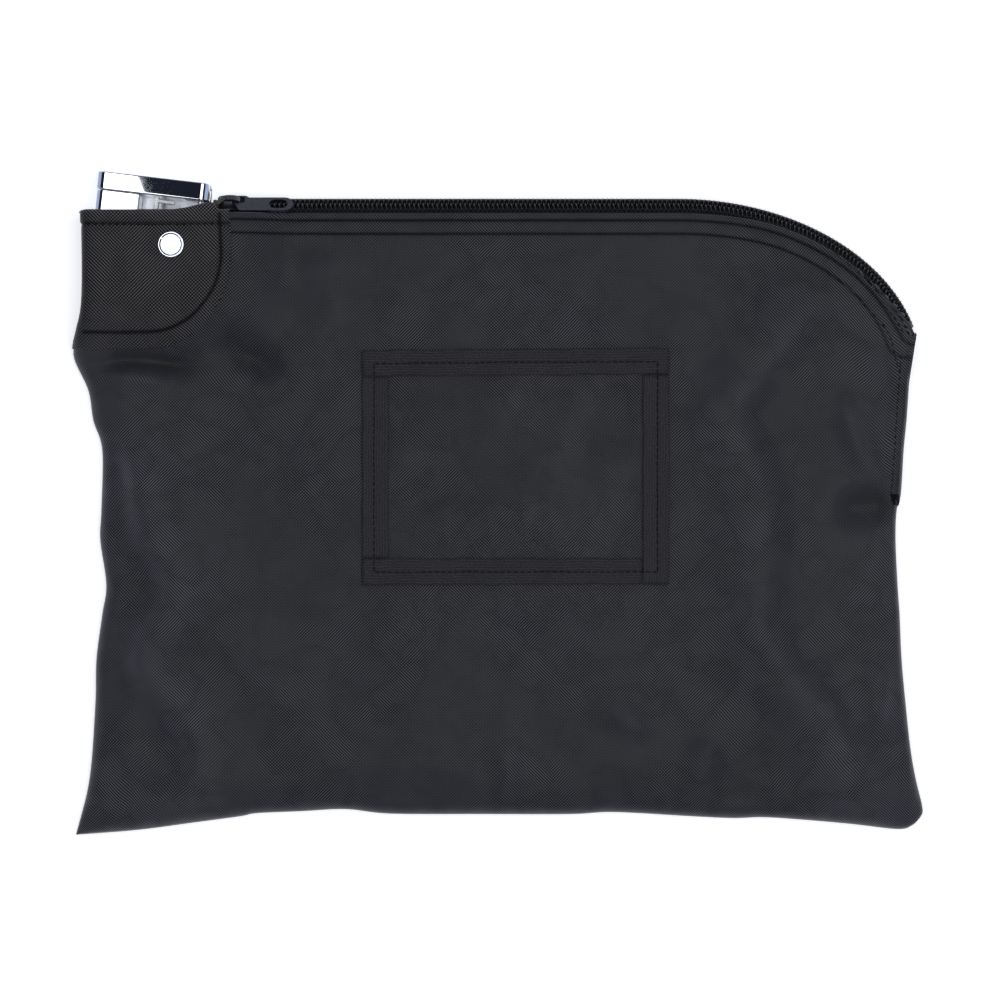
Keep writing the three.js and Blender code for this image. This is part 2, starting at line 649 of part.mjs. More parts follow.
buildPanels();
buildCardHolder();
buildZip();
buildSlider();
buildPull();
buildCap();
buildStem();
buildCylinder();
buildLatch();
buildHousing();
buildRivet();

// The origin is the middle of the bag's footprint, on the surface that it lies on.
bag.updateMatrixWorld(true);
const extent = new THREE.Box3().setFromObject(bag, true);
const middle = extent.getCenter(new THREE.Vector3());
bag.position.set(-middle.x, -middle.y, -extent.min.z);
bag.updateMatrixWorld(true);

export default bag;
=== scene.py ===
"""A locking cash deposit bag, lying on its back: its cloth, card window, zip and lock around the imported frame."""
import logging
import math
from dataclasses import dataclass, field
from enum import Enum
from typing import Callable, Iterable, Sequence

import bmesh
import bpy
import numpy as np
from mathutils import Matrix, Vector
from mathutils.bvhtree import BVHTree


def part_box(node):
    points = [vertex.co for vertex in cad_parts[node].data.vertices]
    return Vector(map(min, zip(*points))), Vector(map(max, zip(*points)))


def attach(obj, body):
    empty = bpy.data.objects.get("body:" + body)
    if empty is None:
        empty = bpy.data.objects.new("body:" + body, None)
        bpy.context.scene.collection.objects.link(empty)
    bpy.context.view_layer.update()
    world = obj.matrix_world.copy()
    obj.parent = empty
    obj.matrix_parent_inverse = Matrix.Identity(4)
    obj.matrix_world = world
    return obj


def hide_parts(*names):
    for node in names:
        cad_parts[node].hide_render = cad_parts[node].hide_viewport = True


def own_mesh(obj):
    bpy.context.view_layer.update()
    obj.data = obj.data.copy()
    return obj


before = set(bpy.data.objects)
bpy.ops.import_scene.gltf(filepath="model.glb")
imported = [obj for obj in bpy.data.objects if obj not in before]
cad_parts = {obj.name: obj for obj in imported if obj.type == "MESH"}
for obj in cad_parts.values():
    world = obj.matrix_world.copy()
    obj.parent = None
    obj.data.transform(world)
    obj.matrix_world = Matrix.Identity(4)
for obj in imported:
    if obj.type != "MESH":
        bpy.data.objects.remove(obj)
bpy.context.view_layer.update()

log = logging.getLogger("deposit_bag")

MM = 0.001
Colour = tuple[float, float, float]
Point = tuple[float, float]


class Body(Enum):
    """The moving bodies of the frame."""

    BAG = "bag"
    PLUNGER = "plunger"
    KEY_PLUG = "key_plug"
    LATCH_BOLT = "latch_bolt"
    SLIDER = "slider"
    PULL = "pull"


class Slot(Enum):
    """The material slots of the record."""

    NYLON = "nylon"
    PATCH = "patch_fabric"
    FILM = "clear_film"
    BINDING = "binding_tape"
    ZIP_TAPE = "zip_tape"
    ZIP_TEETH = "zip_teeth"
    BLACK_METAL = "black_metal"
    CHROME = "chrome"
    BRASS = "brass"
    STEEL = "steel"


# ---------------------------------------------------------------- node graphs and finishes


class Graph:
    """A material's node tree, with short ways to add nodes and to join them."""

    def __init__(self, name: str) -> None:
        """Start an empty material.

        Args:
            name: The material's name.
        """
        self.material = bpy.data.materials.new(name)
        self.material.use_nodes = True
        self.tree = self.material.node_tree
        self.tree.nodes.clear()
        self.output = self.add("ShaderNodeOutputMaterial")

    def add(self, kind: str, **settings: object) -> bpy.types.Node:
        """Add a node.

        Args:
            kind: The node's type.
            settings: Properties of the node.

        Returns:
            The new node.
        """
        node = self.tree.nodes.new(kind)
        for key, value in settings.items():
            setattr(node, key, value)
        return node

    def put(self, socket: bpy.types.NodeSocket, value: object) -> None:
        """Join a socket to another one, or give it a plain value.

        Args:
            socket: The input socket.
            value: An output socket, a number or a colour.
        """
        if isinstance(value, bpy.types.NodeSocket):
            self.tree.links.new(value, socket)
        elif isinstance(value, tuple) and len(value) == 3 and len(socket.default_value) == 4:
            socket.default_value = (*value, 1.0)
        else:
            socket.default_value = value

    def math(self, operation: str, *values: object, clamp: bool = False) -> bpy.types.NodeSocket:
        """Add a Math node.

        Args:
            operation: The node's operation.
            values: Its inputs, numbers or sockets.
            clamp: Whether the result is kept between 0 and 1.

        Returns:
            The node's output.
        """
        node = self.add("ShaderNodeMath", operation=operation, use_clamp=clamp)
        for socket, value in zip(node.inputs, values):
            self.put(socket, value)
        return node.outputs[0]

    def mix(self, factor: object, first: object, second: object) -> bpy.types.NodeSocket:
        """Mix two colours.

        Args:
            factor: The share of the second colour.
            first: A colour or socket.
            second: A colour or socket.

        Returns:
            The mixed colour.
        """
        node = self.add("ShaderNodeMix", data_type="RGBA")
        self.put(node.inputs[0], factor)
        self.put(node.inputs[6], first)
        self.put(node.inputs[7], second)
        return node.outputs[2]

    def span(self, value: object, low: float, high: float, to_low: float = 0.0, to_high: float = 1.0,
             smooth: bool = True) -> bpy.types.NodeSocket:
        """Map a range of values onto another one.

        Args:
            value: The value to map.
            low: Start of its range.
            high: End of its range.
            to_low: Result at the start.
            to_high: Result at the end.
            smooth: Whether the step between them is smooth.

        Returns:
            The mapped value.
        """
        kind = "SMOOTHSTEP" if smooth else "LINEAR"
        node = self.add("ShaderNodeMapRange", interpolation_type=kind)
        for socket, number in zip(node.inputs, (value, low, high, to_low, to_high)):
            self.put(socket, number)
        return node.outputs[0]

    def noise(self, vector: bpy.types.NodeSocket, scale: float, detail: float = 2.0) -> bpy.types.NodeSocket:
        """Add a noise texture.

        Args:
            vector: The coordinates that it reads.
            scale: Its number of features in a metre.
            detail: Its octaves.

        Returns:
            The noise, from 0 to 1.
        """
        node = self.add("ShaderNodeTexNoise")
        self.put(node.inputs["Vector"], vector)
        node.inputs["Scale"].default_value = scale
        node.inputs["Detail"].default_value = detail
        return node.outputs[0]

    def place(self) -> bpy.types.NodeSocket:
        """Return the Object coordinates, in metres."""
        return self.add("ShaderNodeTexCoord").outputs["Object"]

    def stretched(self, vector: bpy.types.NodeSocket, scale: tuple[float, float, float],
                  turn: float = 0.0) -> bpy.types.NodeSocket:
        """Stretch and turn coordinates.

        Args:
            vector: The coordinates.
            scale: Factors along the three axes.
            turn: Angle about the vertical axis, in radians.

        Returns:
            The new coordinates.
        """
        node = self.add("ShaderNodeMapping")
        self.put(node.inputs["Vector"], vector)
        node.inputs["Rotation"].default_value = (0.0, 0.0, turn)
        node.inputs["Scale"].default_value = scale
        return node.outputs[0]

    def cloth_axes(self) -> tuple[bpy.types.NodeSocket, bpy.types.NodeSocket, bpy.types.NodeSocket]:
        """Return the whole cloth coordinate of the piece's own map, and its two parts, in metres."""
        node = self.add("ShaderNodeUVMap", uv_map=CLOTH_MAP)
        parts = self.add("ShaderNodeSeparateXYZ")
        self.put(parts.inputs[0], node.outputs[0])
        return node.outputs[0], parts.outputs[0], parts.outputs[1]

    def bump(self, height: bpy.types.NodeSocket, distance: float, strength: float = 1.0,
             under: bpy.types.NodeSocket | None = None) -> bpy.types.NodeSocket:
        """Turn a height into a normal.

        Args:
            height: The height, in units of the distance.
            distance: The height's unit, in metres.
            strength: How much of it is used.
            under: A coarser normal that it adds to.

        Returns:
            The normal.
        """
        node = self.add("ShaderNodeBump")
        node.inputs["Strength"].default_value = strength
        node.inputs["Distance"].default_value = distance
        self.put(node.inputs["Height"], height)
        if under is not None:
            self.put(node.inputs["Normal"], under)
        return node.outputs[0]

    def surface(self, colour: object, roughness: object, normal: bpy.types.NodeSocket | None = None,
                **uniform: float | Colour) -> bpy.types.Material:
        """Close the graph with a Principled shader.

        Args:
            colour: The base colour.
            roughness: The roughness.
            normal: The surface normal, if it is bumped.
            uniform: Values that are the same all over, by socket name with _ for spaces.

        Returns:
            The material.
        """
        shader = self.add("ShaderNodeBsdfPrincipled")
        self.put(shader.inputs["Base Color"], colour)
        self.put(shader.inputs["Roughness"], roughness)
        if normal is not None:
            self.put(shader.inputs["Normal"], normal)
        for key, value in uniform.items():
            self.put(shader.inputs[key.replace("_", " ")], value)
        self.tree.links.new(shader.outputs[0], self.output.inputs["Surface"])
        return self.material


CLOTH_MAP = "cloth"


class Finish:
    """A surface finish, made into one material the first time it is used."""

    name: str

    def make(self) -> bpy.types.Material:
        """Build the finish's material."""
        raise NotImplementedError

    def material(self) -> bpy.types.Material:
        """Return the finish's material, built once."""
        return bpy.data.materials.get(self.name) or self.make()


@dataclass(frozen=True)
class WovenCloth(Finish):
    """Plain-woven nylon, whose yarns show as staggered dots.

    Args:
        name: The material's name.
        low: Colour of the yarns that run across.
        high: Colour of the yarns that run up, far lighter than their own: a painted glint on their crowns.
        yarn: Distance between two yarns, in metres.
        relief: Height of a yarn's crown, in metres.
        roughness: Mean roughness.
        specular: Specular level.
        sheen: Weight of the fibres' sheen.
        streak: How far the crowns run together into slanting lines.
        painted_glint_contrast: The least and the greatest difference between the yarns, the strength of the painted
            glint on their crowns.
    """

    name: str
    low: Colour
    high: Colour
    yarn: float = 0.00069
    relief: float = 0.00013
    roughness: float = 0.42
    specular: float = 0.34
    sheen: float = 0.04
    streak: float = 0.8
    painted_glint_contrast: tuple[float, float] = (0.45, 1.2)

    def turns(self) -> float:
        """Return the angle that the weave runs through in a metre."""
        return math.pi / self.yarn

    def make(self) -> bpy.types.Material:
        """Build the finish's material."""
        graph = Graph(self.name)
        whole, along, up = graph.cloth_axes()
        wander = graph.math("MULTIPLY_ADD", graph.noise(whole, 90), 0.0007, -0.00035)
        along = graph.math("ADD", along, wander)
        one_way = graph.math("COSINE", graph.math("MULTIPLY", graph.math("SUBTRACT", along, up), self.turns()))
        other_way = graph.math("COSINE", graph.math("MULTIPLY", graph.math("ADD", along, up), self.turns()))
        lean = graph.span(graph.noise(whole, 42, 3.0), 0.38, 0.62, -self.streak, self.streak)
        first = graph.math("MULTIPLY", one_way, graph.math("MULTIPLY_ADD", lean, 0.5, 0.5))
        second = graph.math("MULTIPLY", other_way, graph.math("MULTIPLY_ADD", lean, -0.5, 0.5))
        crossing = graph.math("SUBTRACT", first, second)
        # Painted glint: its strength changes in broad patches over the cloth.
        painted_glint_contrast = graph.span(graph.noise(whole, 15, 3.0), 0.38, 0.62, *self.painted_glint_contrast)
        upper = graph.math("SUBTRACT", graph.span(crossing, -0.15, 0.55), 0.4)
        upper = graph.math("MULTIPLY_ADD", upper, painted_glint_contrast, 0.4, clamp=True)
        crown = graph.math("POWER", graph.math("ABSOLUTE", crossing), 0.6)
        fibre = graph.noise(graph.stretched(whole, (1.0, 0.22, 1.0)), 9000, 1.0)
        blotch = graph.noise(whole, 38, 4.0)
        # Lighter at rubbed seams (wear), lighter on fold ridges and towards the sides (painted highlight), darker in
        # stitch creases and fold dips (painted shade).
        wear_and_painted_light = graph.add("ShaderNodeAttribute", attribute_name="wear_and_painted_light").outputs["Fac"]
        light = graph.mix(graph.math("MULTIPLY", fibre, 0.5), self.high, tuple(0.55 * c for c in self.high))
        woven = graph.mix(upper, self.low, light)
        shade = graph.span(blotch, 0.3, 0.7, 0.94, 1.07)
        shade = graph.math("ADD", shade, graph.math("MULTIPLY", wear_and_painted_light, 0.45))
        shade = graph.math("MAXIMUM", shade, 0.12)
        # Painted shade: the colour falls to near black in the hollows between the yarns' crowns.
        hollow_shade = graph.span(crown, 0.0, 0.5, 0.35, 1.0)
        dark = graph.mix(hollow_shade, (0.001, 0.001, 0.0012), woven)
        scaled = graph.add("ShaderNodeVectorMath", operation="SCALE")
        graph.put(scaled.inputs[0], dark)
        graph.put(scaled.inputs["Scale"], shade)
        rough = graph.span(upper, 0.0, 1.0, self.roughness + 0.1, self.roughness - 0.04, smooth=False)
        rough = graph.math("ADD", rough, graph.math("MULTIPLY_ADD", blotch, 0.12, -0.06))
        slow = graph.bump(graph.noise(whole, 55, 3.0), 0.0003)
        height = graph.math("MULTIPLY_ADD", fibre, 0.15, crown)
        normal = graph.bump(height, self.relief, 1.0, slow)
        return graph.surface(scaled.outputs[0], rough, normal, Specular_IOR_Level=self.specular,
                             Sheen_Weight=self.sheen, Sheen_Roughness=0.4)


@dataclass(frozen=True)
class RibbedTape(Finish):
    """Woven binding or zip tape, with ribs along its length."""

    name: str
    colour: Colour
    rib: float = 0.0012
    relief: float = 0.00009
    roughness: float = 0.5
    specular: float = 0.22

    def make(self) -> bpy.types.Material:
        """Build the finish's material."""
        graph = Graph(self.name)
        whole, along, across = graph.cloth_axes()
        ribs = graph.math("COSINE", graph.math("MULTIPLY", across, 2 * math.pi / self.rib))
        picks = graph.math("SINE", graph.math("MULTIPLY", along, math.pi / (self.rib * 0.42)))
        grain = graph.math("MULTIPLY", picks, graph.math("MULTIPLY_ADD", ribs, 0.4, 0.6))
        blotch = graph.noise(whole, 120, 3.0)
        lift = graph.span(ribs, -1.0, 1.0)
        height = graph.math("MULTIPLY_ADD", grain, 0.3, lift)
        fuzz = graph.span(graph.noise(whole, 1500, 2.0), 0.3, 0.7, 0.0, 0.75)
        # Painted highlight: the ribs' crests are coloured lighter and the grooves between them darker.
        share = graph.math("MULTIPLY_ADD", lift, 0.4, fuzz)
        colour = graph.mix(graph.math("MULTIPLY", share, graph.span(blotch, 0.25, 0.75, 0.6, 1.0)),
                           tuple(0.12 * c for c in self.colour), self.colour)
        return graph.surface(colour, graph.span(blotch, 0.3, 0.7, self.roughness - 0.06, self.roughness + 0.06),
                             graph.bump(height, self.relief), Specular_IOR_Level=self.specular,
                             Sheen_Weight=0.05, Sheen_Roughness=0.5)


@dataclass(frozen=True)
class PlainTape(Finish):
    """Zip tape with no map of its own: a fine herringbone on the place in space."""

    name: str
    colour: Colour
    pitch: float = 0.0011

    def make(self) -> bpy.types.Material:
        """Build the finish's material."""
        graph = Graph(self.name)
        place = graph.place()
        parts = graph.add("ShaderNodeSeparateXYZ")
        graph.put(parts.inputs[0], place)
        diagonal = graph.math("PINGPONG", parts.outputs[1], self.pitch * 2)
        slant = graph.math("ADD", parts.outputs[0], diagonal)
        twill = graph.math("SINE", graph.math("MULTIPLY", slant, 2 * math.pi / self.pitch))
        blotch = graph.noise(place, 150, 3.0)
        colour = graph.mix(graph.span(twill, -0.6, 0.9), tuple(0.4 * c for c in self.colour), self.colour)
        return graph.surface(colour, graph.span(blotch, 0.3, 0.7, 0.62, 0.75), graph.bump(twill, 0.00005),
                             Specular_IOR_Level=0.3)


@dataclass(frozen=True)
class CoilPlastic(Finish):
    """Drawn nylon wire of a zip's coil."""

    name: str
    colour: Colour
    roughness: float = 0.34

    def make(self) -> bpy.types.Material:
        """Build the finish's material."""
        graph = Graph(self.name)
        place = graph.place()
        dust = graph.noise(place, 260, 4.0)
        colour = graph.mix(graph.span(dust, 0.35, 0.75), self.colour, tuple(1.9 * c for c in self.colour))
        rough = graph.span(dust, 0.3, 0.7, self.roughness - 0.06, self.roughness + 0.12)
        return graph.surface(colour, rough, graph.bump(graph.noise(place, 2400, 2.0), 0.00003),
                             Specular_IOR_Level=0.5)


@dataclass(frozen=True)
class Thread(Finish):
    """Twisted sewing thread."""

    name: str
    colour: Colour

    def make(self) -> bpy.types.Material:
        """Build the finish's material."""
        graph = Graph(self.name)
        place = graph.place()
        strands = graph.noise(graph.stretched(place, (1.0, 1.0, 0.4), 0.6), 3800, 2.0)
        colour = graph.mix(graph.span(strands, 0.35, 0.65), tuple(0.3 * c for c in self.colour), self.colour)
        return graph.surface(colour, 0.6, graph.bump(strands, 0.00005), Specular_IOR_Level=0.2)


@dataclass(frozen=True)
class Metal(Finish):
    """Polished or brushed bare metal.

    Args:
        name: The material's name.
        colour: Its colour when new.
        roughness: Its lowest roughness.
        haze: How much rougher its worn patches are.
        grain: Height of its fine scratches, in metres.
    """

    name: str
    colour: Colour
    roughness: float = 0.015
    haze: float = 0.012
    grain: float = 0.00000001

    def make(self) -> bpy.types.Material:
        """Build the finish's material."""
        graph = Graph(self.name)
        place = graph.place()
        patches = graph.noise(place, 160, 4.0)
        scratches = graph.noise(graph.stretched(place, (1.0, 14.0, 1.0), 0.45), 700, 3.0)
        fleck = graph.span(graph.noise(place, 1900, 1.0), 0.69, 0.74)
        tint = graph.mix(graph.span(patches, 0.4, 0.75), self.colour, tuple(0.86 * c for c in self.colour))
        colour = graph.mix(graph.math("MULTIPLY", fleck, 0.35), tint, tuple(0.45 * c for c in self.colour))
        rough = graph.span(patches, 0.35, 0.75, self.roughness, self.roughness + self.haze)
        rough = graph.math("MULTIPLY_ADD", scratches, self.haze * 0.6, rough)
        return graph.surface(colour, rough, graph.bump(scratches, self.grain), Metallic=1.0)


@dataclass(frozen=True)
class Enamel(Finish):
    """Black baked enamel on die-cast zinc, a little worn."""

    name: str
    colour: Colour
    roughness: float = 0.24

    def make(self) -> bpy.types.Material:
        """Build the finish's material."""
        graph = Graph(self.name)
        place = graph.place()
        patches = graph.noise(place, 420, 4.0)
        orange_peel = graph.noise(place, 1500, 2.0)
        colour = graph.mix(graph.span(patches, 0.5, 0.8), self.colour, tuple(2.4 * c for c in self.colour))
        rough = graph.span(patches, 0.3, 0.75, self.roughness, self.roughness + 0.18)
        return graph.surface(colour, rough, graph.bump(orange_peel, 0.00004), Specular_IOR_Level=0.5,
                             Coat_Weight=0.35, Coat_Roughness=0.12)


@dataclass(frozen=True)
class ClearFilm(Finish):
    """Thin clear vinyl, a little hazy with age."""

    name: str
    tint: Colour
    haze: float = 0.05

    def make(self) -> bpy.types.Material:
        """Build the finish's material."""
        graph = Graph(self.name)
        place = graph.place()
        cloud = graph.noise(place, 45, 4.0)
        ripple = graph.bump(graph.noise(place, 70, 2.0), 0.0012)
        material = graph.surface(self.tint, graph.span(cloud, 0.3, 0.7, 0.16, 0.34), ripple,
                                 Specular_IOR_Level=0.5)
        shader = next(n for n in graph.tree.nodes if n.type == "BSDF_PRINCIPLED")
        graph.put(shader.inputs["Alpha"], graph.span(cloud, 0.3, 0.7, self.haze, self.haze * 1.6))
        return material


# The high colours are a painted glint on the yarns' crowns; the low ones are the dark yarns themselves.
NYLON = WovenCloth("black_nylon_cloth", (0.0020, 0.0022, 0.0032), (0.104, 0.104, 0.113), relief=0.00006,
                   roughness=0.36, specular=0.17, painted_glint_contrast=(0.4, 1.5), streak=0.65)
PATCH_CLOTH = WovenCloth("coarse_patch_cloth", (0.0015, 0.0014, 0.0016), (0.14, 0.134, 0.134), yarn=0.00078,
                         relief=0.00008, roughness=0.40, specular=0.12, painted_glint_contrast=(0.8, 1.3), streak=0.5)
BINDING = RibbedTape("black_binding_tape", (0.048, 0.045, 0.051))
FRONT_TAPE = RibbedTape("black_front_zip_tape", (0.010, 0.010, 0.012), rib=0.0009)
ZIP_TAPE = PlainTape("black_zip_tape", (0.010, 0.010, 0.012))
COIL = CoilPlastic("black_coil_plastic", (0.005, 0.005, 0.006), roughness=0.27)
STOP = CoilPlastic("black_stop_plastic", (0.004, 0.004, 0.005), roughness=0.5)
THREAD = Thread("black_thread", (0.0030, 0.0030, 0.0038))
CHROME = Metal("chrome_plate", (0.86, 0.88, 0.93))
SATIN_CHROME = Metal("satin_chrome_plate", (0.72, 0.74, 0.78), roughness=0.18, haze=0.1, grain=0.0000002)
BRASS = Metal("plain_brass", (0.66, 0.47, 0.20), roughness=0.2, haze=0.15, grain=0.0000006)
ZINC = Metal("brushed_zinc", (0.64, 0.66, 0.72), roughness=0.3, haze=0.08, grain=0.0000008)
STEEL = Metal("spring_steel", (0.46, 0.47, 0.50), roughness=0.14, haze=0.1, grain=0.0000004)
ENAMEL = Enamel("black_enamel", (0.010, 0.010, 0.012))
FILM = ClearFilm("clear_vinyl", (0.012, 0.013, 0.018), haze=0.03)


# ---------------------------------------------------------------- working with objects and meshes


def only(piece: bpy.types.Object) -> None:
    """Select one object alone and make it the active one.

    Args:
        piece: The object.
    """
    bpy.ops.object.select_all(action="DESELECT")
    piece.select_set(True)
    bpy.context.view_layer.objects.active = piece


def added(name: str) -> bpy.types.Object:
    """Name the primitive that was just added.

    Args:
        name: The object's and its mesh's name.

    Returns:
        The object.
    """
    piece = bpy.context.active_object
    piece.name = piece.data.name = name
    return piece


def settle(piece: bpy.types.Object) -> None:
    """Put an object's place, turn and scale into its mesh.

    Args:
        piece: The object.
    """
    only(piece)
    bpy.ops.object.transform_apply(location=True, rotation=True, scale=True)


def apply_all(piece: bpy.types.Object) -> None:
    """Apply all of an object's modifiers.

    Args:
        piece: The object.
    """
    only(piece)
    for modifier in list(piece.modifiers):
        bpy.ops.object.modifier_apply(modifier=modifier.name)


def choose(piece: bpy.types.Object, mode: str, wanted: Callable[[Vector, Vector], bool]) -> None:
    """Select a mesh's faces or edges in edit mode by their middle and their direction.

    Args:
        piece: The object, in edit mode.
        mode: FACE or EDGE.
        wanted: Tells from an element's middle and its normal, or an edge's direction, if it is chosen.
    """
    bpy.ops.mesh.select_mode(type=mode)
    bpy.ops.mesh.select_all(action="DESELECT")
    shape = bmesh.from_edit_mesh(piece.data)
    if mode == "FACE":
        for face in shape.faces:
            face.select_set(wanted(face.calc_center_median(), face.normal))
    else:
        for edge in shape.edges:
            first, second = (v.co for v in edge.verts)
            edge.select_set(wanted((first + second) / 2, (second - first).normalized()))
    bmesh.update_edit_mesh(piece.data)


def rounded(piece: bpy.types.Object, width: float, segments: int = 2, angle: float = 35.0,
            clamped: bool = True) -> None:
    """Round a piece's sharp edges.

    Args:
        piece: The object.
        width: Width of the rounding, in metres.
        segments: Faces across it.
        angle: The smallest edge angle that is rounded, in degrees.
        clamped: Whether short edges hold the width back, and corners slide along the flat faces' edges.
    """
    bevel = piece.modifiers.new("rounding", "BEVEL")
    bevel.width = width
    bevel.segments = segments
    bevel.limit_method = "ANGLE"
    bevel.angle_limit = math.radians(angle)
    bevel.use_clamp_overlap = clamped
    bevel.loop_slide = clamped
    apply_all(piece)


def smooth_shaded(piece: bpy.types.Object, angle: float = 32.0) -> None:
    """Shade a piece smooth, but for its sharp edges.

    Args:
        piece: The object.
        angle: The smallest angle of a sharp edge, in degrees.
    """
    only(piece)
    bpy.ops.object.shade_smooth_by_angle(angle=math.radians(angle))


def flat_shaded_true(piece: bpy.types.Object, angle: float = 32.0) -> None:
    """Shade a metal piece so that its broad flat faces mirror as flat ones.

    Args:
        piece: The object.
        angle: The smallest angle of a sharp edge, in degrees.
    """
    smooth_shaded(piece, angle)
    weighted = piece.modifiers.new("true_flats", "WEIGHTED_NORMAL")
    weighted.weight = 100
    weighted.keep_sharp = True
    apply_all(piece)


def cut_away(piece: bpy.types.Object, tool: bpy.types.Object) -> None:
    """Cut one solid out of another.

    Args:
        piece: The solid that stays.
        tool: The solid that is taken away, removed afterwards.
    """
    boolean = piece.modifiers.new("cut", "BOOLEAN")
    boolean.operation = "DIFFERENCE"
    boolean.solver = "EXACT"
    boolean.object = tool
    apply_all(piece)
    bpy.data.objects.remove(tool)


def cleaned(piece: bpy.types.Object) -> None:
    """Merge a mesh's doubles and turn its faces outwards.

    Args:
        piece: The object.
    """
    only(piece)
    bpy.ops.object.mode_set(mode="EDIT")
    bpy.ops.mesh.select_all(action="SELECT")
    bpy.ops.mesh.remove_doubles(threshold=2e-6)
    bpy.ops.mesh.normals_make_consistent(inside=False)
    bpy.ops.object.mode_set(mode="OBJECT")


def dress(piece: bpy.types.Object, finish: Finish, body: Body, nodes: Iterable[str] = ()) -> None:
    """Give a finished piece its material, its body and the nodes that it stands for.

    Args:
        piece: The object.
        finish: Its finish.
        body: The body that it rides on.
        nodes: The CAD nodes that it replaces.
    """
    piece.data.materials.clear()
    piece.data.materials.append(finish.material())
    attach(piece, body.value)
    if nodes:
        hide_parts(*nodes)
    log.info("%s: %d faces on %s", piece.name, len(piece.data.polygons), body.value)


def copy_of(node: str, name: str) -> bpy.types.Object:
    """Copy a CAD node's mesh and clean it for modelling.

    Args:
        node: The CAD node.
        name: The copy's name.

    Returns:
        The copy, with its flat faces whole again.
    """
    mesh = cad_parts[node].data.copy()
    mesh.name = name
    mesh.materials.clear()
    piece = bpy.data.objects.new(name, mesh)
    bpy.context.scene.collection.objects.link(piece)
    cleaned(piece)
    bpy.ops.object.mode_set(mode="EDIT")
    bpy.ops.mesh.select_all(action="SELECT")
    bpy.ops.mesh.dissolve_limited(angle_limit=math.radians(1.0))
    bpy.ops.object.mode_set(mode="OBJECT")
    return piece


# ---------------------------------------------------------------- lines and cloth surfaces


def smooth_step(value: np.ndarray, low: float, high: float) -> np.ndarray:
    """Rise smoothly from 0 at low to 1 at high."""
    share = np.clip((value - low) / (high - low), 0.0, 1.0)
    return share * share * (3 - 2 * share)


def rounding(distance: np.ndarray, width: np.ndarray | float) -> np.ndarray:
    """Rise in a quarter round from 0 at a seam to 1 at the given width from it."""
    rest = 1 - np.clip(distance / width, 0.0, 1.0)
    return np.sqrt(1 - rest * rest)


def swell(distance: np.ndarray, width: float) -> np.ndarray:
    """Rise in a parabola from 0 at a seam to 1 at the given width from it."""
    rest = 1 - np.clip(distance / width, 0.0, 1.0)
    return 1 - rest * rest


def graded(total: float, near: Sequence[tuple[float, float]], far: Sequence[tuple[float, float]],
           middle: float) -> np.ndarray:
    """Grid lines across a cloth, closer together near its two ends.

    Args:
        total: The cloth's size.
        near: Lengths from the first end and the spacing in each.
        far: The same from the other end.
        middle: The spacing between them.

    Returns:
        The lines' places, from 0 to total.
    """
    def run(parts: Sequence[tuple[float, float]]) -> list[float]:
        places = [0.0]
        for length, step in parts:
            count = max(1, round(length / step))
            places += [places[-1] + length * (i + 1) / count for i in range(count)]
        return places

    first, last = run(near), [total - p for p in run(far)][::-1]
    count = max(1, round((last[0] - first[-1]) / middle))
    between = np.linspace(first[-1], last[0], count + 1)[1:-1]
    return np.concatenate([first, between, last])


class Line:
    """A line in the plane that is read by the share of its length."""

    def __init__(self, points: Sequence[Point], curved: bool = True) -> None:
        """Lay the line through its points.

        Args:
            points: The points, in mm.
            curved: Whether it bends smoothly through them.
        """
        place = np.asarray(points, float)
        if curved:
            place = self._curve(place)
        steps = np.hypot(*np.diff(place, axis=0).T)
        self.place = place
        self.reach = np.concatenate([[0.0], np.cumsum(steps)])
        self.length = float(self.reach[-1])

    @staticmethod
    def _curve(points: np.ndarray, per_span: int = 16) -> np.ndarray:
        """Sample a smooth curve through the points."""
        ends = np.vstack([2 * points[0] - points[1], points, 2 * points[-1] - points[-2]])
        t = np.linspace(0, 1, per_span, endpoint=False)[:, None]
        spans = []
        for a, b, c, d in zip(ends, ends[1:], ends[2:], ends[3:]):
            spans.append(0.5 * (2 * b + (c - a) * t + (2 * a - 5 * b + 4 * c - d) * t**2
                                + (3 * b - a - 3 * c + d) * t**3))
        return np.vstack([*spans, points[-1:]])

    def at(self, length: np.ndarray) -> np.ndarray:
        """Return the points at these lengths from the line's start."""
        return np.stack([np.interp(length, self.reach, self.place[:, k]) for k in (0, 1)], -1)

    def share(self, share: np.ndarray) -> np.ndarray:
        """Return the points at these shares of the line's length."""
        return self.at(np.asarray(share) * self.length)

    def gap(self, x: np.ndarray, y: np.ndarray) -> np.ndarray:
        """Return the distances of these places from the line."""
        best = np.full(np.shape(x), 1e9)
        for (ax, ay), (bx, by) in zip(self.place, self.place[1:]):
            dx, dy = bx - ax, by - ay
            share = np.clip(((x - ax) * dx + (y - ay) * dy) / (dx * dx + dy * dy), 0, 1)
            best = np.minimum(best, np.hypot(x - ax - share * dx, y - ay - share * dy))
        return best

    def normal(self, length: np.ndarray) -> np.ndarray:
        """Return the unit normals on the left of the line at these lengths from its start."""
        ahead = self.at(np.minimum(length + 0.2, self.length)) - self.at(np.maximum(length - 0.2, 0.0))
        ahead /= np.hypot(ahead[..., 0], ahead[..., 1])[..., None]
        return np.stack([-ahead[..., 1], ahead[..., 0]], -1)


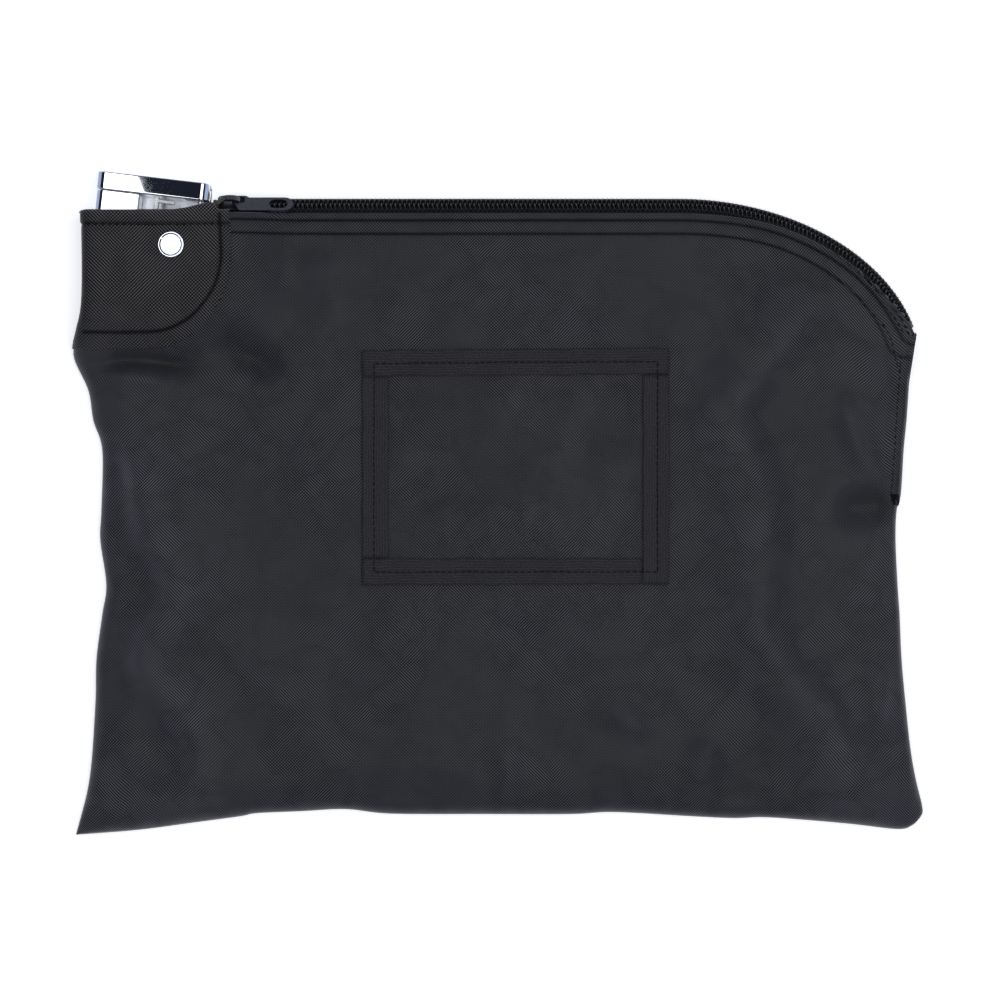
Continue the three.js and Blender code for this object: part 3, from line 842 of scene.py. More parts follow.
@dataclass(frozen=True)
class Fold:
    """A ridge or a dip in the cloth along a line.

    Args:
        points: The line's points, in mm.
        height: Its height, in mm; below 0 for a dip.
        left: Its width on the left of the line, in mm.
        right: Its width on the right.
        fade: The length over which it fades in and out.
    """

    points: Sequence[Point]
    height: float
    left: float
    right: float
    fade: float = 14.0

    def lift(self, x: np.ndarray, y: np.ndarray) -> np.ndarray:
        """Return how much the fold lifts the cloth at these places, in mm."""
        line = Line(self.points)
        place = line.place[::4] if len(line.place) > 24 else line.place
        starts, ends = place[:-1], place[1:]
        best = np.full(x.shape, 1e9)
        side = np.zeros(x.shape)
        along = np.zeros(x.shape)
        done = 0.0
        for (ax, ay), (bx, by) in zip(starts, ends):
            dx, dy = bx - ax, by - ay
            size = math.hypot(dx, dy) or 1e-9
            share = np.clip(((x - ax) * dx + (y - ay) * dy) / size**2, 0, 1)
            off_x, off_y = x - ax - share * dx, y - ay - share * dy
            gap = np.hypot(off_x, off_y)
            nearer = gap < best
            best = np.where(nearer, gap, best)
            side = np.where(nearer, dx * off_y - dy * off_x, side)
            along = np.where(nearer, done + share * size, along)
            done += size
        width = np.where(side > 0, self.left, self.right)
        fading = smooth_step(along, -self.fade * 0.3, self.fade) * smooth_step(done - along, -self.fade * 0.3, self.fade)
        return self.height * np.exp(-((best / width) ** 2)) * fading


class Surface:
    """A cloth surface that other pieces lie on."""

    def __init__(self, points: np.ndarray) -> None:
        """Keep the surface for finding places on it.

        Args:
            points: A grid of points in metres, rows by columns by 3.
        """
        rows, columns = points.shape[:2]
        faces = [(j * columns + i, j * columns + i + 1, (j + 1) * columns + i + 1, (j + 1) * columns + i)
                 for j in range(rows - 1) for i in range(columns - 1)]
        self.tree = BVHTree.FromPolygons(points.reshape(-1, 3).tolist(), faces)

    def at(self, x: float, y: float) -> tuple[Vector, Vector]:
        """Find the surface over a place.

        Args:
            x: The place across, in mm.
            y: The place up the bag, in mm.

        Returns:
            The point in metres and the normal there, pointing up.
        """
        above = Vector((x * MM, y * MM, 0.1))
        point, normal, _, _ = self.tree.ray_cast(above, Vector((0, 0, -1)))
        if point is None:
            point, normal, _, _ = self.tree.find_nearest(Vector((x * MM, y * MM, 0.011)))
        return point, normal if normal.z >= 0 else -normal

    def laid(self, plane: np.ndarray, lift: float | np.ndarray, upright: bool = False) -> np.ndarray:
        """Lay points onto the surface.

        Args:
            plane: Points in mm, any shape by 2.
            lift: Their distance above the surface, in mm.
            upright: Whether they are lifted straight up and not along the normal.

        Returns:
            The points in metres, any shape by 3.
        """
        flat = plane.reshape(-1, 2)
        lifts = np.broadcast_to(lift, plane.shape[:-1]).reshape(-1)
        out = np.empty((len(flat), 3))
        for n, (x, y) in enumerate(flat):
            point, normal = self.at(x, y)
            out[n] = point + (Vector((0, 0, 1)) if upright else normal) * (lifts[n] * MM)
        return out.reshape(*plane.shape[:-1], 3)


def cloth_piece(name: str, points: np.ndarray, thickness: float, outside_up: bool = True,
                straight: bool = True, wear_and_painted_light: np.ndarray | None = None) -> bpy.types.Object:
    """Make a cloth of a grid of points, with its thickness and its own map in metres.

    Args:
        name: The piece's name.
        points: The outer face's points in metres, rows by columns by 3.
        thickness: The cloth's thickness, in metres.
        outside_up: Whether the outer face looks up.
        straight: Whether the weave follows the bag's own axes, and not the grid's rows.
        wear_and_painted_light: How much each point is lightened, from 0 to 1, by wear at rubbed seams and by painted
            highlight, or darkened below 0 by painted shade.

    Returns:
        The piece.
    """
    rows, columns = points.shape[:2]
    faces = []
    for j in range(rows - 1):
        for i in range(columns - 1):
            ring = (j * columns + i, j * columns + i + 1, (j + 1) * columns + i + 1, (j + 1) * columns + i)
            faces.append(ring if outside_up else ring[::-1])
    mesh = bpy.data.meshes.new(name)
    mesh.from_pydata(points.reshape(-1, 3).tolist(), [], faces)
    piece = bpy.data.objects.new(name, mesh)
    bpy.context.scene.collection.objects.link(piece)

    def travelled(axis: int) -> np.ndarray:
        step = np.diff(points, axis=axis)
        whole = np.linalg.norm(step, axis=-1)
        if straight:
            whole = whole - np.linalg.norm(step[..., :2], axis=-1)
        total = np.cumsum(whole, axis=axis)
        total = np.concatenate([np.zeros_like(np.take(total, [0], axis=axis)), total], axis=axis)
        middle = points.shape[axis] // 2
        return total - np.take(total, [middle], axis=axis)

    side = np.sign(points[..., 0] - points[:, points.shape[1] // 2, None, 0])
    u = np.abs(travelled(1)) * side if straight else travelled(1)
    v = travelled(0)
    if straight:
        u = u + points[..., 0]
        v = v + points[..., 1]
    flat = np.stack([u, v], -1).reshape(-1, 2)
    layer = mesh.uv_layers.new(name=CLOTH_MAP)
    corners = np.empty(len(mesh.loops), np.int32)
    mesh.loops.foreach_get("vertex_index", corners)
    layer.data.foreach_set("uv", flat[corners].astype(np.float32).ravel())
    attribute = mesh.attributes.new("wear_and_painted_light", "FLOAT", "POINT")
    values = np.zeros(rows * columns) if wear_and_painted_light is None else wear_and_painted_light.reshape(-1)
    attribute.data.foreach_set("value", values.astype(np.float32))
    solid = piece.modifiers.new("thickness", "SOLIDIFY")
    solid.thickness = thickness
    solid.offset = -1.0
    solid.use_even_offset = False
    solid.use_rim = True
    apply_all(piece)
    bpy.ops.object.shade_smooth()
    return piece


# ---------------------------------------------------------------- the bag's body


@dataclass
class BagOutline:
    """The bag's outline seen from above, in mm."""

    zip_top: float = 134.7
    zip_left: float = -184.2
    corner_start: float = 82.3
    corner_handles: tuple[Point, Point, Point] = ((126.8, 134.7), (173.8, 113.5), (187.4, 75.5))
    left: Sequence[Point] = (
        (-187.6, -149.0), (-181.6, -123.8), (-179.0, -90.4), (-178.5, -70.4), (-175.9, -50.4), (-174.1, -37.0),
        (-176.8, -17.0), (-176.3, -3.7), (-175.9, 23.0), (-179.9, 36.4), (-182.1, 49.7), (-188.2, 63.1),
        (-188.6, 69.8), (-187.0, 76.4), (-184.0, 89.8), (-184.0, 123.2))
    bottom: Sequence[Point] = (
        (-187.6, -149.0), (-160.3, -146.9), (-133.6, -143.4), (-113.6, -140.7), (-106.9, -139.4),
        (-86.9, -138.5), (-66.8, -137.6), (-46.8, -139.6), (-6.8, -139.8), (33.3, -139.8), (53.3, -138.9),
        (86.7, -140.7), (106.7, -141.6), (120.1, -141.2), (140.1, -142.5), (160.1, -144.3), (180.1, -146.5),
        (186.4, -144.9), (190.2, -141.4))
    right: Sequence[Point] = (
        (190.2, -141.4), (191.3, -137.2), (188.2, -123.8), (185.9, -110.5), (183.7, -90.4), (181.9, -70.4),
        (181.0, -50.4), (180.1, -37.0), (179.2, -17.0), (179.7, -3.7), (181.5, 3.0), (182.8, 23.0),
        (184.1, 36.4), (185.0, 49.7), (185.9, 63.1), (187.0, 70.8), (187.2, 73.4))

    def zip_line(self) -> Line:
        """Return the outer line of the zip, from the left edge round the corner."""
        start, first, second, end = (np.array(p) for p in ((self.corner_start, self.zip_top),
                                                            *self.corner_handles))
        t = np.linspace(0, 1, 80)[:, None]
        bend = (1 - t)**3 * start + 3 * (1 - t)**2 * t * first + 3 * (1 - t) * t * t * second + t**3 * end
        return Line([(self.zip_left, self.zip_top), *map(tuple, bend)], curved=False)

    def grid(self, columns: np.ndarray, rows: np.ndarray, size: Point, inside: Callable) -> np.ndarray:
        """Fill the outline with a grid.

        Args:
            columns: Places of the grid's columns, in mm from the left edge.
            rows: Places of its rows, in mm from the bottom edge.
            size: The bag's nominal width and height.
            inside: Gives how far outside the zip's outer line the top edge runs, by the place across.

        Returns:
            The grid's points in mm, rows by columns by 2.
        """
        line = self.zip_line()
        s, t = columns / size[0], rows / size[1]
        base = line.share(s)
        top = base + line.normal(s * line.length) * inside(base[:, 0])[:, None]
        bottom = Line(self.bottom).share(s)
        left = Line([*self.left, tuple(top[0])]).share(t)
        right = Line([*self.right, tuple(top[-1])]).share(t)
        across, up = s[None, :, None], t[:, None, None]
        return ((1 - up) * bottom[None] + up * top[None] + (1 - across) * left[:, None] + across * right[:, None]
                - (1 - across) * (1 - up) * bottom[0] - across * (1 - up) * bottom[-1]
                - (1 - across) * up * top[0] - across * up * top[-1])


@dataclass
class FrontCloth:
    """The front of the bag: a soft, filled cloth that climbs over the lock in one corner.

    Args:
        outline: The bag's outline.
        size: Its nominal width and height, in mm.
        plateau: Height of the filled front.
        lock_plateau: Height over the lock.
        seam: Height of the seams at the sides and the bottom.
        thickness: The cloth's thickness.
        fold_edge: How far inside the zip's outer line the folded edge ends.
        corner_edge: The same round the zip's corner.
        end_reach: How much further out it runs at the zip's end.
        fold_radius: Radius of the folded edge.
        depth: How much the folds' heights are scaled.
        stitch_lines: How far inside the folded edge the two stitch lines run.
    """

    outline: BagOutline
    size: Point = (372.0, 275.0)
    plateau: float = 11.0
    lock_plateau: float = 19.5
    seam: float = 2.6
    thickness: float = 0.7
    fold_edge: float = 6.3
    corner_edge: float = 4.9
    end_reach: float = 2.4
    fold_radius: float = 0.75
    depth: float = 2.9
    stitch_lines: tuple[float, float] = (3.2, 9.1)
    piece: bpy.types.Object | None = field(init=False, default=None)
    surface: Surface | None = field(init=False, default=None)

    def edge_inset(self, x: np.ndarray) -> np.ndarray:
        """Return how far inside the zip's outer line the folded edge ends, by the place across in mm."""
        inset = self.fold_edge + (self.corner_edge - self.fold_edge) * smooth_step(x, 88, 132)
        return inset - self.end_reach * smooth_step(x, 175, 187)

    def folds(self) -> list[Fold]:
        """Return the folds and dents of the filled front."""
        return [
            Fold(((-167.9, 36.4), (-159.4, 11.0), (-152.3, -14.8), (-142.5, -34.4), (-146.5, -51.3),
                  (-156.7, -71.3), (-146.5, -85.5), (-135.4, -99.8), (-132.2, -114.0), (-135.4, -128.3),
                  (-159.4, -134.3)), 2.0, 16.0, 8.0, 30.0),
            Fold(((145.9, 96.0), (134.3, 79.1), (117.4, 56.4), (105.8, 36.4), (120.1, -0.5), (117.4, -48.6),
                  (125.8, -71.3), (145.9, -94.0), (157.0, -114.0), (168.6, -130.9), (184.0, -138.0)),
                 1.8, 9.0, 17.0, 34.0),
            Fold(((151.0, -0.5), (164.0, -2.0), (179.0, -0.5)), -1.7, 7.0, 9.0, 10.0),
            Fold(((153.0, 48.0), (160.0, 30.0), (167.0, 12.0)), 1.1, 5.0, 6.0, 12.0),
            Fold(((168.0, -66.0), (172.0, -84.0), (166.0, -104.0)), 1.3, 8.0, 10.0, 16.0),
            Fold(((-123.8, 76.4), (-110.0, 66.0), (-95.3, 53.8)), -1.5, 8.0, 6.0, 12.0),
            Fold(((-81.5, 116.0), (-74.0, 96.0), (-64.2, 76.4)), 0.9, 9.0, 9.0, 16.0),
            Fold(((3.9, -132.0), (6.0, -118.0), (2.0, -104.0)), 0.8, 6.0, 8.0, 12.0),
            Fold(((94.7, -104.0), (93.5, -118.0), (91.6, -132.0)), 1.2, 6.0, 7.0, 12.0),
            Fold(((50.0, -88.0), (58.0, -97.0), (68.0, -104.0)), 1.0, 8.0, 8.0, 12.0),
            Fold(((-178.0, 62.5), (-158.0, 63.5), (-134.0, 60.5)), -1.3, 3.2, 4.5, 12.0),
            Fold(((-176.0, 54.0), (-160.0, 56.0), (-146.0, 52.0)), 0.9, 4.0, 5.0, 12.0),
            Fold(((-60.0, -122.0), (-30.0, -118.0), (0.0, -124.0)), 0.7, 9.0, 12.0, 24.0),
            Fold(((-116.0, -60.0), (-96.0, -84.0), (-84.0, -112.0)), 0.7, 12.0, 14.0, 24.0),
        ]

    def height(self, x: np.ndarray, y: np.ndarray, column: np.ndarray, row: np.ndarray) -> np.ndarray:
        """Give the cloth's height.

        Args:
            x: Places across, in mm.
            y: Places up the bag, in mm.
            column: Distances from the left edge along the cloth.
            row: Distances from the bottom edge along the cloth.

        Returns:
            The heights, in mm.
        """
        width, length = self.size
        beside_lock = smooth_step(y, 60, 88)
        over_lock = (1 - smooth_step(x, -118.5, -86.5)) * beside_lock
        plateau = self.plateau + (self.lock_plateau - self.plateau) * over_lock
        near_zip_end = smooth_step(row / length, 0.88, 0.95)
        left = 0.62 * rounding(column, 6.5) + 0.38 * swell(column, 30)
        left = left + (rounding(column, 2.6) - left) * beside_lock
        right = 0.62 * rounding(width - column, 6.5) + 0.38 * swell(width - column, 34)
        right = right + (1 - right) * near_zip_end
        bottom = 0.62 * rounding(row, 6.5) + 0.38 * swell(row, 28)
        z = self.seam + (plateau - self.seam) * left * right * bottom
        room = smooth_step(column, 1, 16) * smooth_step(width - column, 1, 16) * smooth_step(row, 1, 16)
        free = room * (1 - 0.85 * over_lock) * smooth_step(length - row, 6, 26)
        for fold in self.folds():
            z = z + self.depth * fold.lift(x, y) * free
        for size, wave, turn, phase in ((0.34, 74, 0.4, 0.3), (0.24, 45, 1.9, 1.7), (0.16, 30, 2.7, 4.1),
                                        (0.10, 19, 1.1, 2.2), (0.05, 11, 2.2, 0.8)):
            z = z + 1.5 * size * free * np.sin((x * math.cos(turn) + y * math.sin(turn)) * 2 * math.pi / wave + phase)
        z = z + self._seam_puckers(column, row, length)
        return z + self._zip_stitching(x, column, self.inside(x, y)) + self._side_hem(y, column, width)

    def _seam_puckers(self, column: np.ndarray, row: np.ndarray, length: float) -> np.ndarray:
        """Return the small gathers that run in from the side and bottom seams."""
        width = self.size[0]
        z = 0.0
        for gap, along in ((row, column), (column, row), (width - column, row)):
            gather = np.sin(along * 0.47 + 0.8 * np.sin(along * 0.11)) + 0.6 * np.sin(along * 0.83 + 1.3)
            z = z + 0.22 * gather * smooth_step(gap, 1.0, 5.0) * (1 - smooth_step(gap, 7, 20))
        return z * smooth_step(length - row, 4, 30)

    def inside(self, x: np.ndarray, y: np.ndarray) -> np.ndarray:
        """Return how far inside the folded edge beside the zip these places are, in mm."""
        return self.outline.zip_line().gap(x, y) - self.edge_inset(x)

    def _zip_stitching(self, x: np.ndarray, column: np.ndarray, inside: np.ndarray) -> np.ndarray:
        """Return the dents of the two stitch lines along the zip and the swelling between them."""
        first, second = self.stitch_lines
        wavy = 0.25 * np.sin(column * 0.9) + 0.2 * np.sin(column * 0.37 + 1)
        shown = smooth_step(x, -118.5, -114.0)
        dent = 0.34 * np.exp(-((inside - first - 0.3 * wavy) / 0.75) ** 2)
        dent = dent + 0.30 * np.exp(-((inside - second - 0.4 * wavy) / 0.9) ** 2)
        puff = 0.30 * np.exp(-((inside - first / 2) / 1.3) ** 2) + 0.16 * np.exp(-((inside - 6.6) / 2.0) ** 2)
        gather = 0.06 * np.sin(column * 1.15) * np.exp(-((inside - 6.0) / 4.5) ** 2)
        return (puff + gather - dent) * shown

    def _stitch_shade(self, plane: np.ndarray) -> np.ndarray:
        """Return the painted shade in the creases of its stitch lines: how much the cloth's colour is darkened there.
        """
        inside = self.inside(plane[..., 0], plane[..., 1])
        first, second = self.stitch_lines
        shown = smooth_step(plane[..., 0], -118.5, -117.0)
        crease = np.exp(-((inside - first) / 0.55) ** 2) + np.exp(-((inside - second) / 0.55) ** 2)
        return 2.6 * crease * shown

    def _side_hem(self, y: np.ndarray, column: np.ndarray, width: float) -> np.ndarray:
        """Return the step of the narrow hem below the end of the zip."""
        gap = width - column
        return 0.85 * (1 - smooth_step(gap, 4.2, 5.0)) * smooth_step(gap, 0.2, 1.2) * (
            smooth_step(y, -1.5, 0.5) * (1 - smooth_step(y, 66, 70)))

    def build(self) -> None:
        """Make the cloth with the folded edge beside the zip."""
        width, length = self.size
        columns = graded(width, [(8, 0.55), (24, 1.3)], [(8, 0.55), (24, 1.3)], 1.95)
        rows = graded(length, [(8, 0.6), (20, 1.4)], [(14, 0.5), (14, 1.4)], 1.95)
        plane = self.outline.grid(columns, rows, self.size, lambda x: -self.edge_inset(x) - self.fold_radius)
        column, row = np.meshgrid(columns, rows)
        z = self.height(plane[..., 0], plane[..., 1], column, row)
        points = np.concatenate([plane, z[..., None]], -1)
        points = np.concatenate([points, self._folded_edge(points, columns)], 0) * MM
        edge = np.minimum(np.minimum(column, width - column), row)
        # Lighter at the seams, where they rub (wear); painted shade darkens the stitch lines' creases.
        wear_and_painted_light = 0.7 * np.clip(1 - edge / 5, 0, 1) ** 2 - self._stitch_shade(plane)
        # Painted highlight: the cloth is lighter towards the left and right seams.
        wear_and_painted_light = wear_and_painted_light + 0.35 * (1 - smooth_step(np.minimum(column, width - column), 12, 70))
        # Painted highlight on the folds' ridges, painted shade in their dips.
        wear_and_painted_light = wear_and_painted_light + 0.26 * sum(fold.lift(plane[..., 0], plane[..., 1]) for fold in self.folds())
        wear_and_painted_light = np.concatenate([wear_and_painted_light, np.full((points.shape[0] - wear_and_painted_light.shape[0], wear_and_painted_light.shape[1]), 0.7)], 0)
        self.surface = Surface(points)
        self.piece = cloth_piece("front_cloth", points, self.thickness * MM, wear_and_painted_light=wear_and_painted_light)
        dress(self.piece, NYLON, Body.BAG, ["front_panel"])

    def _folded_edge(self, points: np.ndarray, columns: np.ndarray) -> np.ndarray:
        """Return the rows that turn down and under along the zip."""
        line = self.outline.zip_line()
        outward = line.normal(columns / self.size[0] * line.length)
        last = points[-1]
        radius = self.fold_radius - 0.25 * (1 - smooth_step(last[:, 0], -122, -108))
        out = []
        for turn in np.radians([25, 50, 75, 100, 125, 150, 175]):
            place = last.copy()
            place[:, :2] += outward * radius[:, None] * math.sin(turn)
            place[:, 2] -= radius * (1 - math.cos(turn))
            out.append(place)
        tail = out[-1].copy()
        tail[:, :2] -= outward * 1.6
        return np.stack([*out, tail])


@dataclass
class BackCloth:
    """The back of the bag, flat on the table, with its seams drawn up to the front's."""

    outline: BagOutline
    size: Point = (372.0, 275.0)
    thickness: float = 0.6
    rest: float = 0.05
    seam: float = 1.35
    patch_lift: float = 0.9
    edge_behind_zip: float = -0.6

    def build(self) -> None:
        """Make the cloth."""
        width, length = self.size
        columns = graded(width, [(6, 1.0), (20, 2.4)], [(6, 1.0), (20, 2.4)], 3.6)
        rows = graded(length, [(6, 1.0), (20, 2.4)], [(4, 1.0), (12, 2.4)], 3.6)

        def inside(x: np.ndarray) -> np.ndarray:
            return -7.0 + (7.0 + self.edge_behind_zip) * smooth_step(x, -128.5, -122.5)

        plane = self.outline.grid(columns, rows, self.size, inside)
        column, row = np.meshgrid(columns, rows)
        x, y = plane[..., 0], plane[..., 1]
        over_patch = (1 - smooth_step(x, -112.5, -104.5)) * smooth_step(y, 58, 65)
        near_top = smooth_step(row / length, 0.75, 0.9)
        edge = np.minimum(np.minimum(column, width - column), row)
        z = self.rest + self.seam * (1 - smooth_step(edge, 0, 5)) * (1 - near_top)
        slack = 0.5 + 0.5 * np.sin(x * 0.061 + 0.7) * np.sin(y * 0.083 + 1.9)
        z = z + 0.5 * slack * smooth_step(edge, 4, 30) * (1 - over_patch) * (1 - smooth_step(y, 90, 110))
        z = z + (self.patch_lift - z) * over_patch
        points = np.concatenate([plane, z[..., None]], -1) * MM
        wear_and_painted_light = np.clip(1 - edge / 5, 0, 1) ** 2
        piece = cloth_piece("back_cloth", points, self.thickness * MM, outside_up=False, wear_and_painted_light=wear_and_painted_light)
        dress(piece, NYLON, Body.BAG, ["back_panel"])


@dataclass
class CornerPatch:
    """The heavier cloth over the lock's corner, with one round corner and a rolled top.

    Args:
        front: The front cloth that it is sewn to.
        right: Place of its right side, in mm.
        lean: How much further right that side is at its lower end.
        bottom: Place of its lower side.
        radius: Radii of its round corner across and up the bag.
        thickness: The cloth's thickness.
        hem: Depth of the rolled top.
        gap: Distance between the patch and the cloth below it.
        border: How far inside the right and the lower edge the stitched border runs.
        rise: How much higher the top is just left of the slider's pull.
    """

    front: FrontCloth
    right: float = -117.6
    lean: float = 0.8
    bottom: float = 68.2
    radius: Point = (38.0, 42.0)
    thickness: float = 0.6
    hem: float = 4.6
    gap: float = 0.12
    border: Point = (4.4, 7.4)
    rise: float = 3.1
    surface: Surface | None = field(init=False, default=None)

    def right_side(self, inset: float = 0.0, low_inset: float = 0.0) -> list[Point]:
        """Return the right side and the round corner, from the top down to the lower side.

        Args:
            inset: How far inside the right edge the line runs, in mm.
            low_inset: How far inside the lower edge it runs.
        """
        top = self.front.outline.zip_top - self.front.fold_edge
        centre = (self.right + self.lean - self.radius[0], self.bottom + self.radius[1])
        wide, deep = self.radius[0] - inset, self.radius[1] - low_inset
        turn = [math.radians(a) for a in range(0, -91, -5)]
        line = [(self.right - inset, top)]
        line += [(centre[0] + wide * math.cos(a), centre[1] + deep * math.sin(a)) for a in turn]
        return line + [(-166.0, self.bottom + low_inset), (-183.0, self.bottom + low_inset)]

    def build(self) -> None:
        """Make the front patch and the plain one on the back."""
        outline = self.front.outline
        left_line = Line([*outline.left, (-184.0, outline.zip_top - self.front.fold_edge)])
        reach = np.linspace(0, left_line.length, 900)
        places = left_line.at(reach)
        start = reach[np.argmin(np.abs(places[:, 1] - self.bottom) + 50 * (places[:, 0] > -170))]
        top = outline.zip_top - self.front.fold_edge
        side = Line(self.right_side(), curved=False)
        quarter = math.pi / 2 * math.hypot(*self.radius) / math.sqrt(2)
        corner_share = (top - self.bottom - self.radius[1] + quarter / 2) / side.length
        cells_up, cells_across = 74, 78
        t, s = np.linspace(0, 1, cells_up + 1), np.linspace(0, 1, cells_across + 1)
        left = left_line.at(start + (left_line.length - start) * t) + np.array([0.25, 0.0])
        right = side.share(corner_share * (1 - t))
        whole = Line([tuple(left[0]), *map(tuple, side.share(np.linspace(1, corner_share, 40))[
            np.argmax(side.share(np.linspace(1, corner_share, 40))[:, 0] > left[0][0] + 2):])], curved=False)
        lower = whole.share(s)
        upper = np.stack([np.interp(s, [0, 1], [left[-1][0], right[-1][0]]), np.full(s.shape, top)], -1)
        upper[:, 1] += self.rise * np.interp(upper[:, 0], [-142.5, -136.0, -128.2, -124.6, -122.4],
                                             [0.0, 0.3, 0.95, 1.0, 0.0])
        across, up = s[None, :, None], t[:, None, None]
        plane = ((1 - up) * lower[None] + up * upper[None] + (1 - across) * left[:, None]
                 + across * right[:, None] - (1 - across) * (1 - up) * lower[0] - across * (1 - up) * lower[-1]
                 - (1 - across) * up * upper[0] - across * up * upper[-1])
        on_cloth = plane.copy()
        on_cloth[..., 1] = np.minimum(on_cloth[..., 1], top - 0.9)
        lift = np.full(plane.shape[:2], self.gap + self.thickness)
        lift = lift + self._relief(plane, top)
        points = self.front.surface.laid(on_cloth, lift)
        points[..., 1] += (plane[..., 1] - on_cloth[..., 1]) * MM
        rolled = []
        for turn in np.radians([30, 60, 90, 115, 140]):
            row = points[-1].copy()
            row[:, 1] += 1.1 * MM * math.sin(turn)
            row[:, 2] -= 1.1 * MM * (1 - math.cos(turn))
            rolled.append(row)
        points = np.concatenate([points, np.stack(rolled)], 0)
        self.surface = Surface(points)
        edge = 0.6 * np.clip(1 - (top - plane[..., 1]) / 2.0, 0, 1)
        # Painted shade in the crease of the stitched border.
        border = Fold(self.right_side(*self.border), 1.0, 0.8, 0.8, 0.5)
        edge = edge - 2.4 * border.lift(plane[..., 0], plane[..., 1])
        edge = edge - 0.8 * (1 - smooth_step(s * 66, 1, 9))[None, :]
        # Painted shade in the crease of the hem's stitch line.
        edge = edge - 1.6 * np.exp(-((plane[..., 1] - top + self.hem + 0.5) / 0.8) ** 2)
        wear_and_painted_light = np.concatenate([edge, np.ones((len(rolled), edge.shape[1]))], 0)
        piece = cloth_piece("front_patch_cloth", points, self.thickness * MM, wear_and_painted_light=wear_and_painted_light)
        self._punch(piece)
        dress(piece, PATCH_CLOTH, Body.BAG, ["front_corner_patch"])
        back = copy_of("back_corner_patch", "back_patch_cloth")
        rounded(back, 0.0002)
        smooth_shaded(back)
        dress(back, BACK_PATCH, Body.BAG, ["back_corner_patch"])

    def _relief(self, plane: np.ndarray, top: float) -> np.ndarray:
        """Return the patch's own swelling: its hem, its stitched border and a few slanting creases."""
        x, y = plane[..., 0], plane[..., 1]
        hem = 0.5 * smooth_step(y, top - self.hem - 0.3, top - self.hem + 0.4)
        dent = -0.22 * np.exp(-((y - top + self.hem + 0.7) / 0.7) ** 2)
        creases = Fold(((-172.0, 116.0), (-160.0, 104.0), (-148.0, 88.0)), 1.0, 4.0, 7.0, 14.0).lift(x, y)
        creases += Fold(((-136.0, 104.0), (-130.0, 92.0), (-134.0, 78.0)), 0.9, 3.5, 6.0, 10.0).lift(x, y)
        creases += Fold(((-178.0, 92.0), (-168.0, 82.0), (-160.0, 72.0)), 0.9, 3.5, 5.0, 10.0).lift(x, y)
        return hem + dent + creases

    @staticmethod
    def _punch(piece: bpy.types.Object) -> None:
        """Cut the rivet's hole."""
        low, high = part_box("rivet_front_cap")
        middle = (low + high) / 2
        bpy.ops.object.select_all(action="DESELECT")
        bpy.ops.mesh.primitive_cylinder_add(vertices=24, radius=2.3 * MM, depth=0.03,
                                            location=(middle.x, middle.y, 0.02))
        cut_away(piece, added("rivet_punch"))
        only(piece)
        bpy.ops.object.shade_smooth()


BACK_PATCH = PlainTape("back_patch_cloth_weave", (0.020, 0.020, 0.023), 0.0014)


# ---------------------------------------------------------------- stitching


class Stitcher:
    """Sews lines of stitches, all copies of one modelled stitch."""

    def __init__(self, length: float = 2.6, pitch: float = 3.1, radius: float = 0.26) -> None:
        """Model the one stitch: a short thread that dives into the cloth at both ends.

        Args:
            length: Length of a stitch, in mm.
            pitch: Distance from one stitch to the next.
            radius: Radius of the thread.
        """
        self.pitch = pitch
        bpy.ops.object.select_all(action="DESELECT")
        bpy.ops.mesh.primitive_cylinder_add(vertices=6, radius=radius, depth=length, end_fill_type="TRIFAN",
                                            rotation=(0.0, math.pi / 2, 0.0))
        model = added("stitch_model")
        settle(model)
        bpy.ops.object.mode_set(mode="EDIT")
        for place in (-0.42, -0.2, 0.0, 0.2, 0.42):
            bpy.ops.mesh.select_all(action="SELECT")
            bpy.ops.mesh.bisect(plane_co=(place * length, 0, 0), plane_no=(1, 0, 0))
        bpy.ops.object.mode_set(mode="OBJECT")
        for vertex in model.data.vertices:
            share = abs(vertex.co.x) / (length / 2)
            slim = math.sqrt(max(0.0, 1 - 0.7 * share**4))
            vertex.co.y *= slim
            vertex.co.z = vertex.co.z * slim + radius * (0.35 - 1.7 * share**3)
        self.points = np.array([v.co for v in model.data.vertices])
        self.faces = [tuple(p.vertices) for p in model.data.polygons]
        bpy.data.objects.remove(model)

    def sew(self, name: str, surface: Surface, lines: Sequence[Line], body: Body = Body.BAG,
            slot: Slot = Slot.NYLON, pitch: float | None = None, lift: float = 0.0,
            finish: Finish = THREAD) -> bpy.types.Object:
        """Sew lines of stitches onto a surface as one piece.

        Args:
            name: The piece's name.
            surface: The surface.
            lines: The lines, in mm.
            body: The body that it rides on.
            slot: The record's slot of its finish; not used.
            pitch: Distance from one stitch to the next, if not the usual one.
            lift: Extra height above the surface, in mm.
            finish: The thread's finish.

        Returns:
            The piece.
        """
        pitch = pitch or self.pitch
        points, faces = [], []
        for line in lines:
            count = max(1, int(line.length / pitch))
            middles = (np.arange(count) + 0.5) * line.length / count
            places, normals = line.at(middles), line.normal(middles)
            for (x, y), (nx, ny) in zip(places, normals):
                ground, up = surface.at(x, y)
                along = Vector((ny, -nx, 0.0))
                along = (along - up * along.dot(up)).normalized()
                side = up.cross(along)
                start = len(points) * len(self.points)
                frame_of = np.array([along, side, up])
                points.append(np.array(ground) + (self.points @ frame_of + np.array(up) * lift) * MM)
                faces += [tuple(start + k for k in face) for face in self.faces]
        mesh = bpy.data.meshes.new(name)
        mesh.from_pydata(np.concatenate(points).tolist(), [], faces)
        piece = bpy.data.objects.new(name, mesh)
        bpy.context.scene.collection.objects.link(piece)
        cleaned(piece)
        smooth_shaded(piece, 60.0)
        dress(piece, finish, body)
        return piece


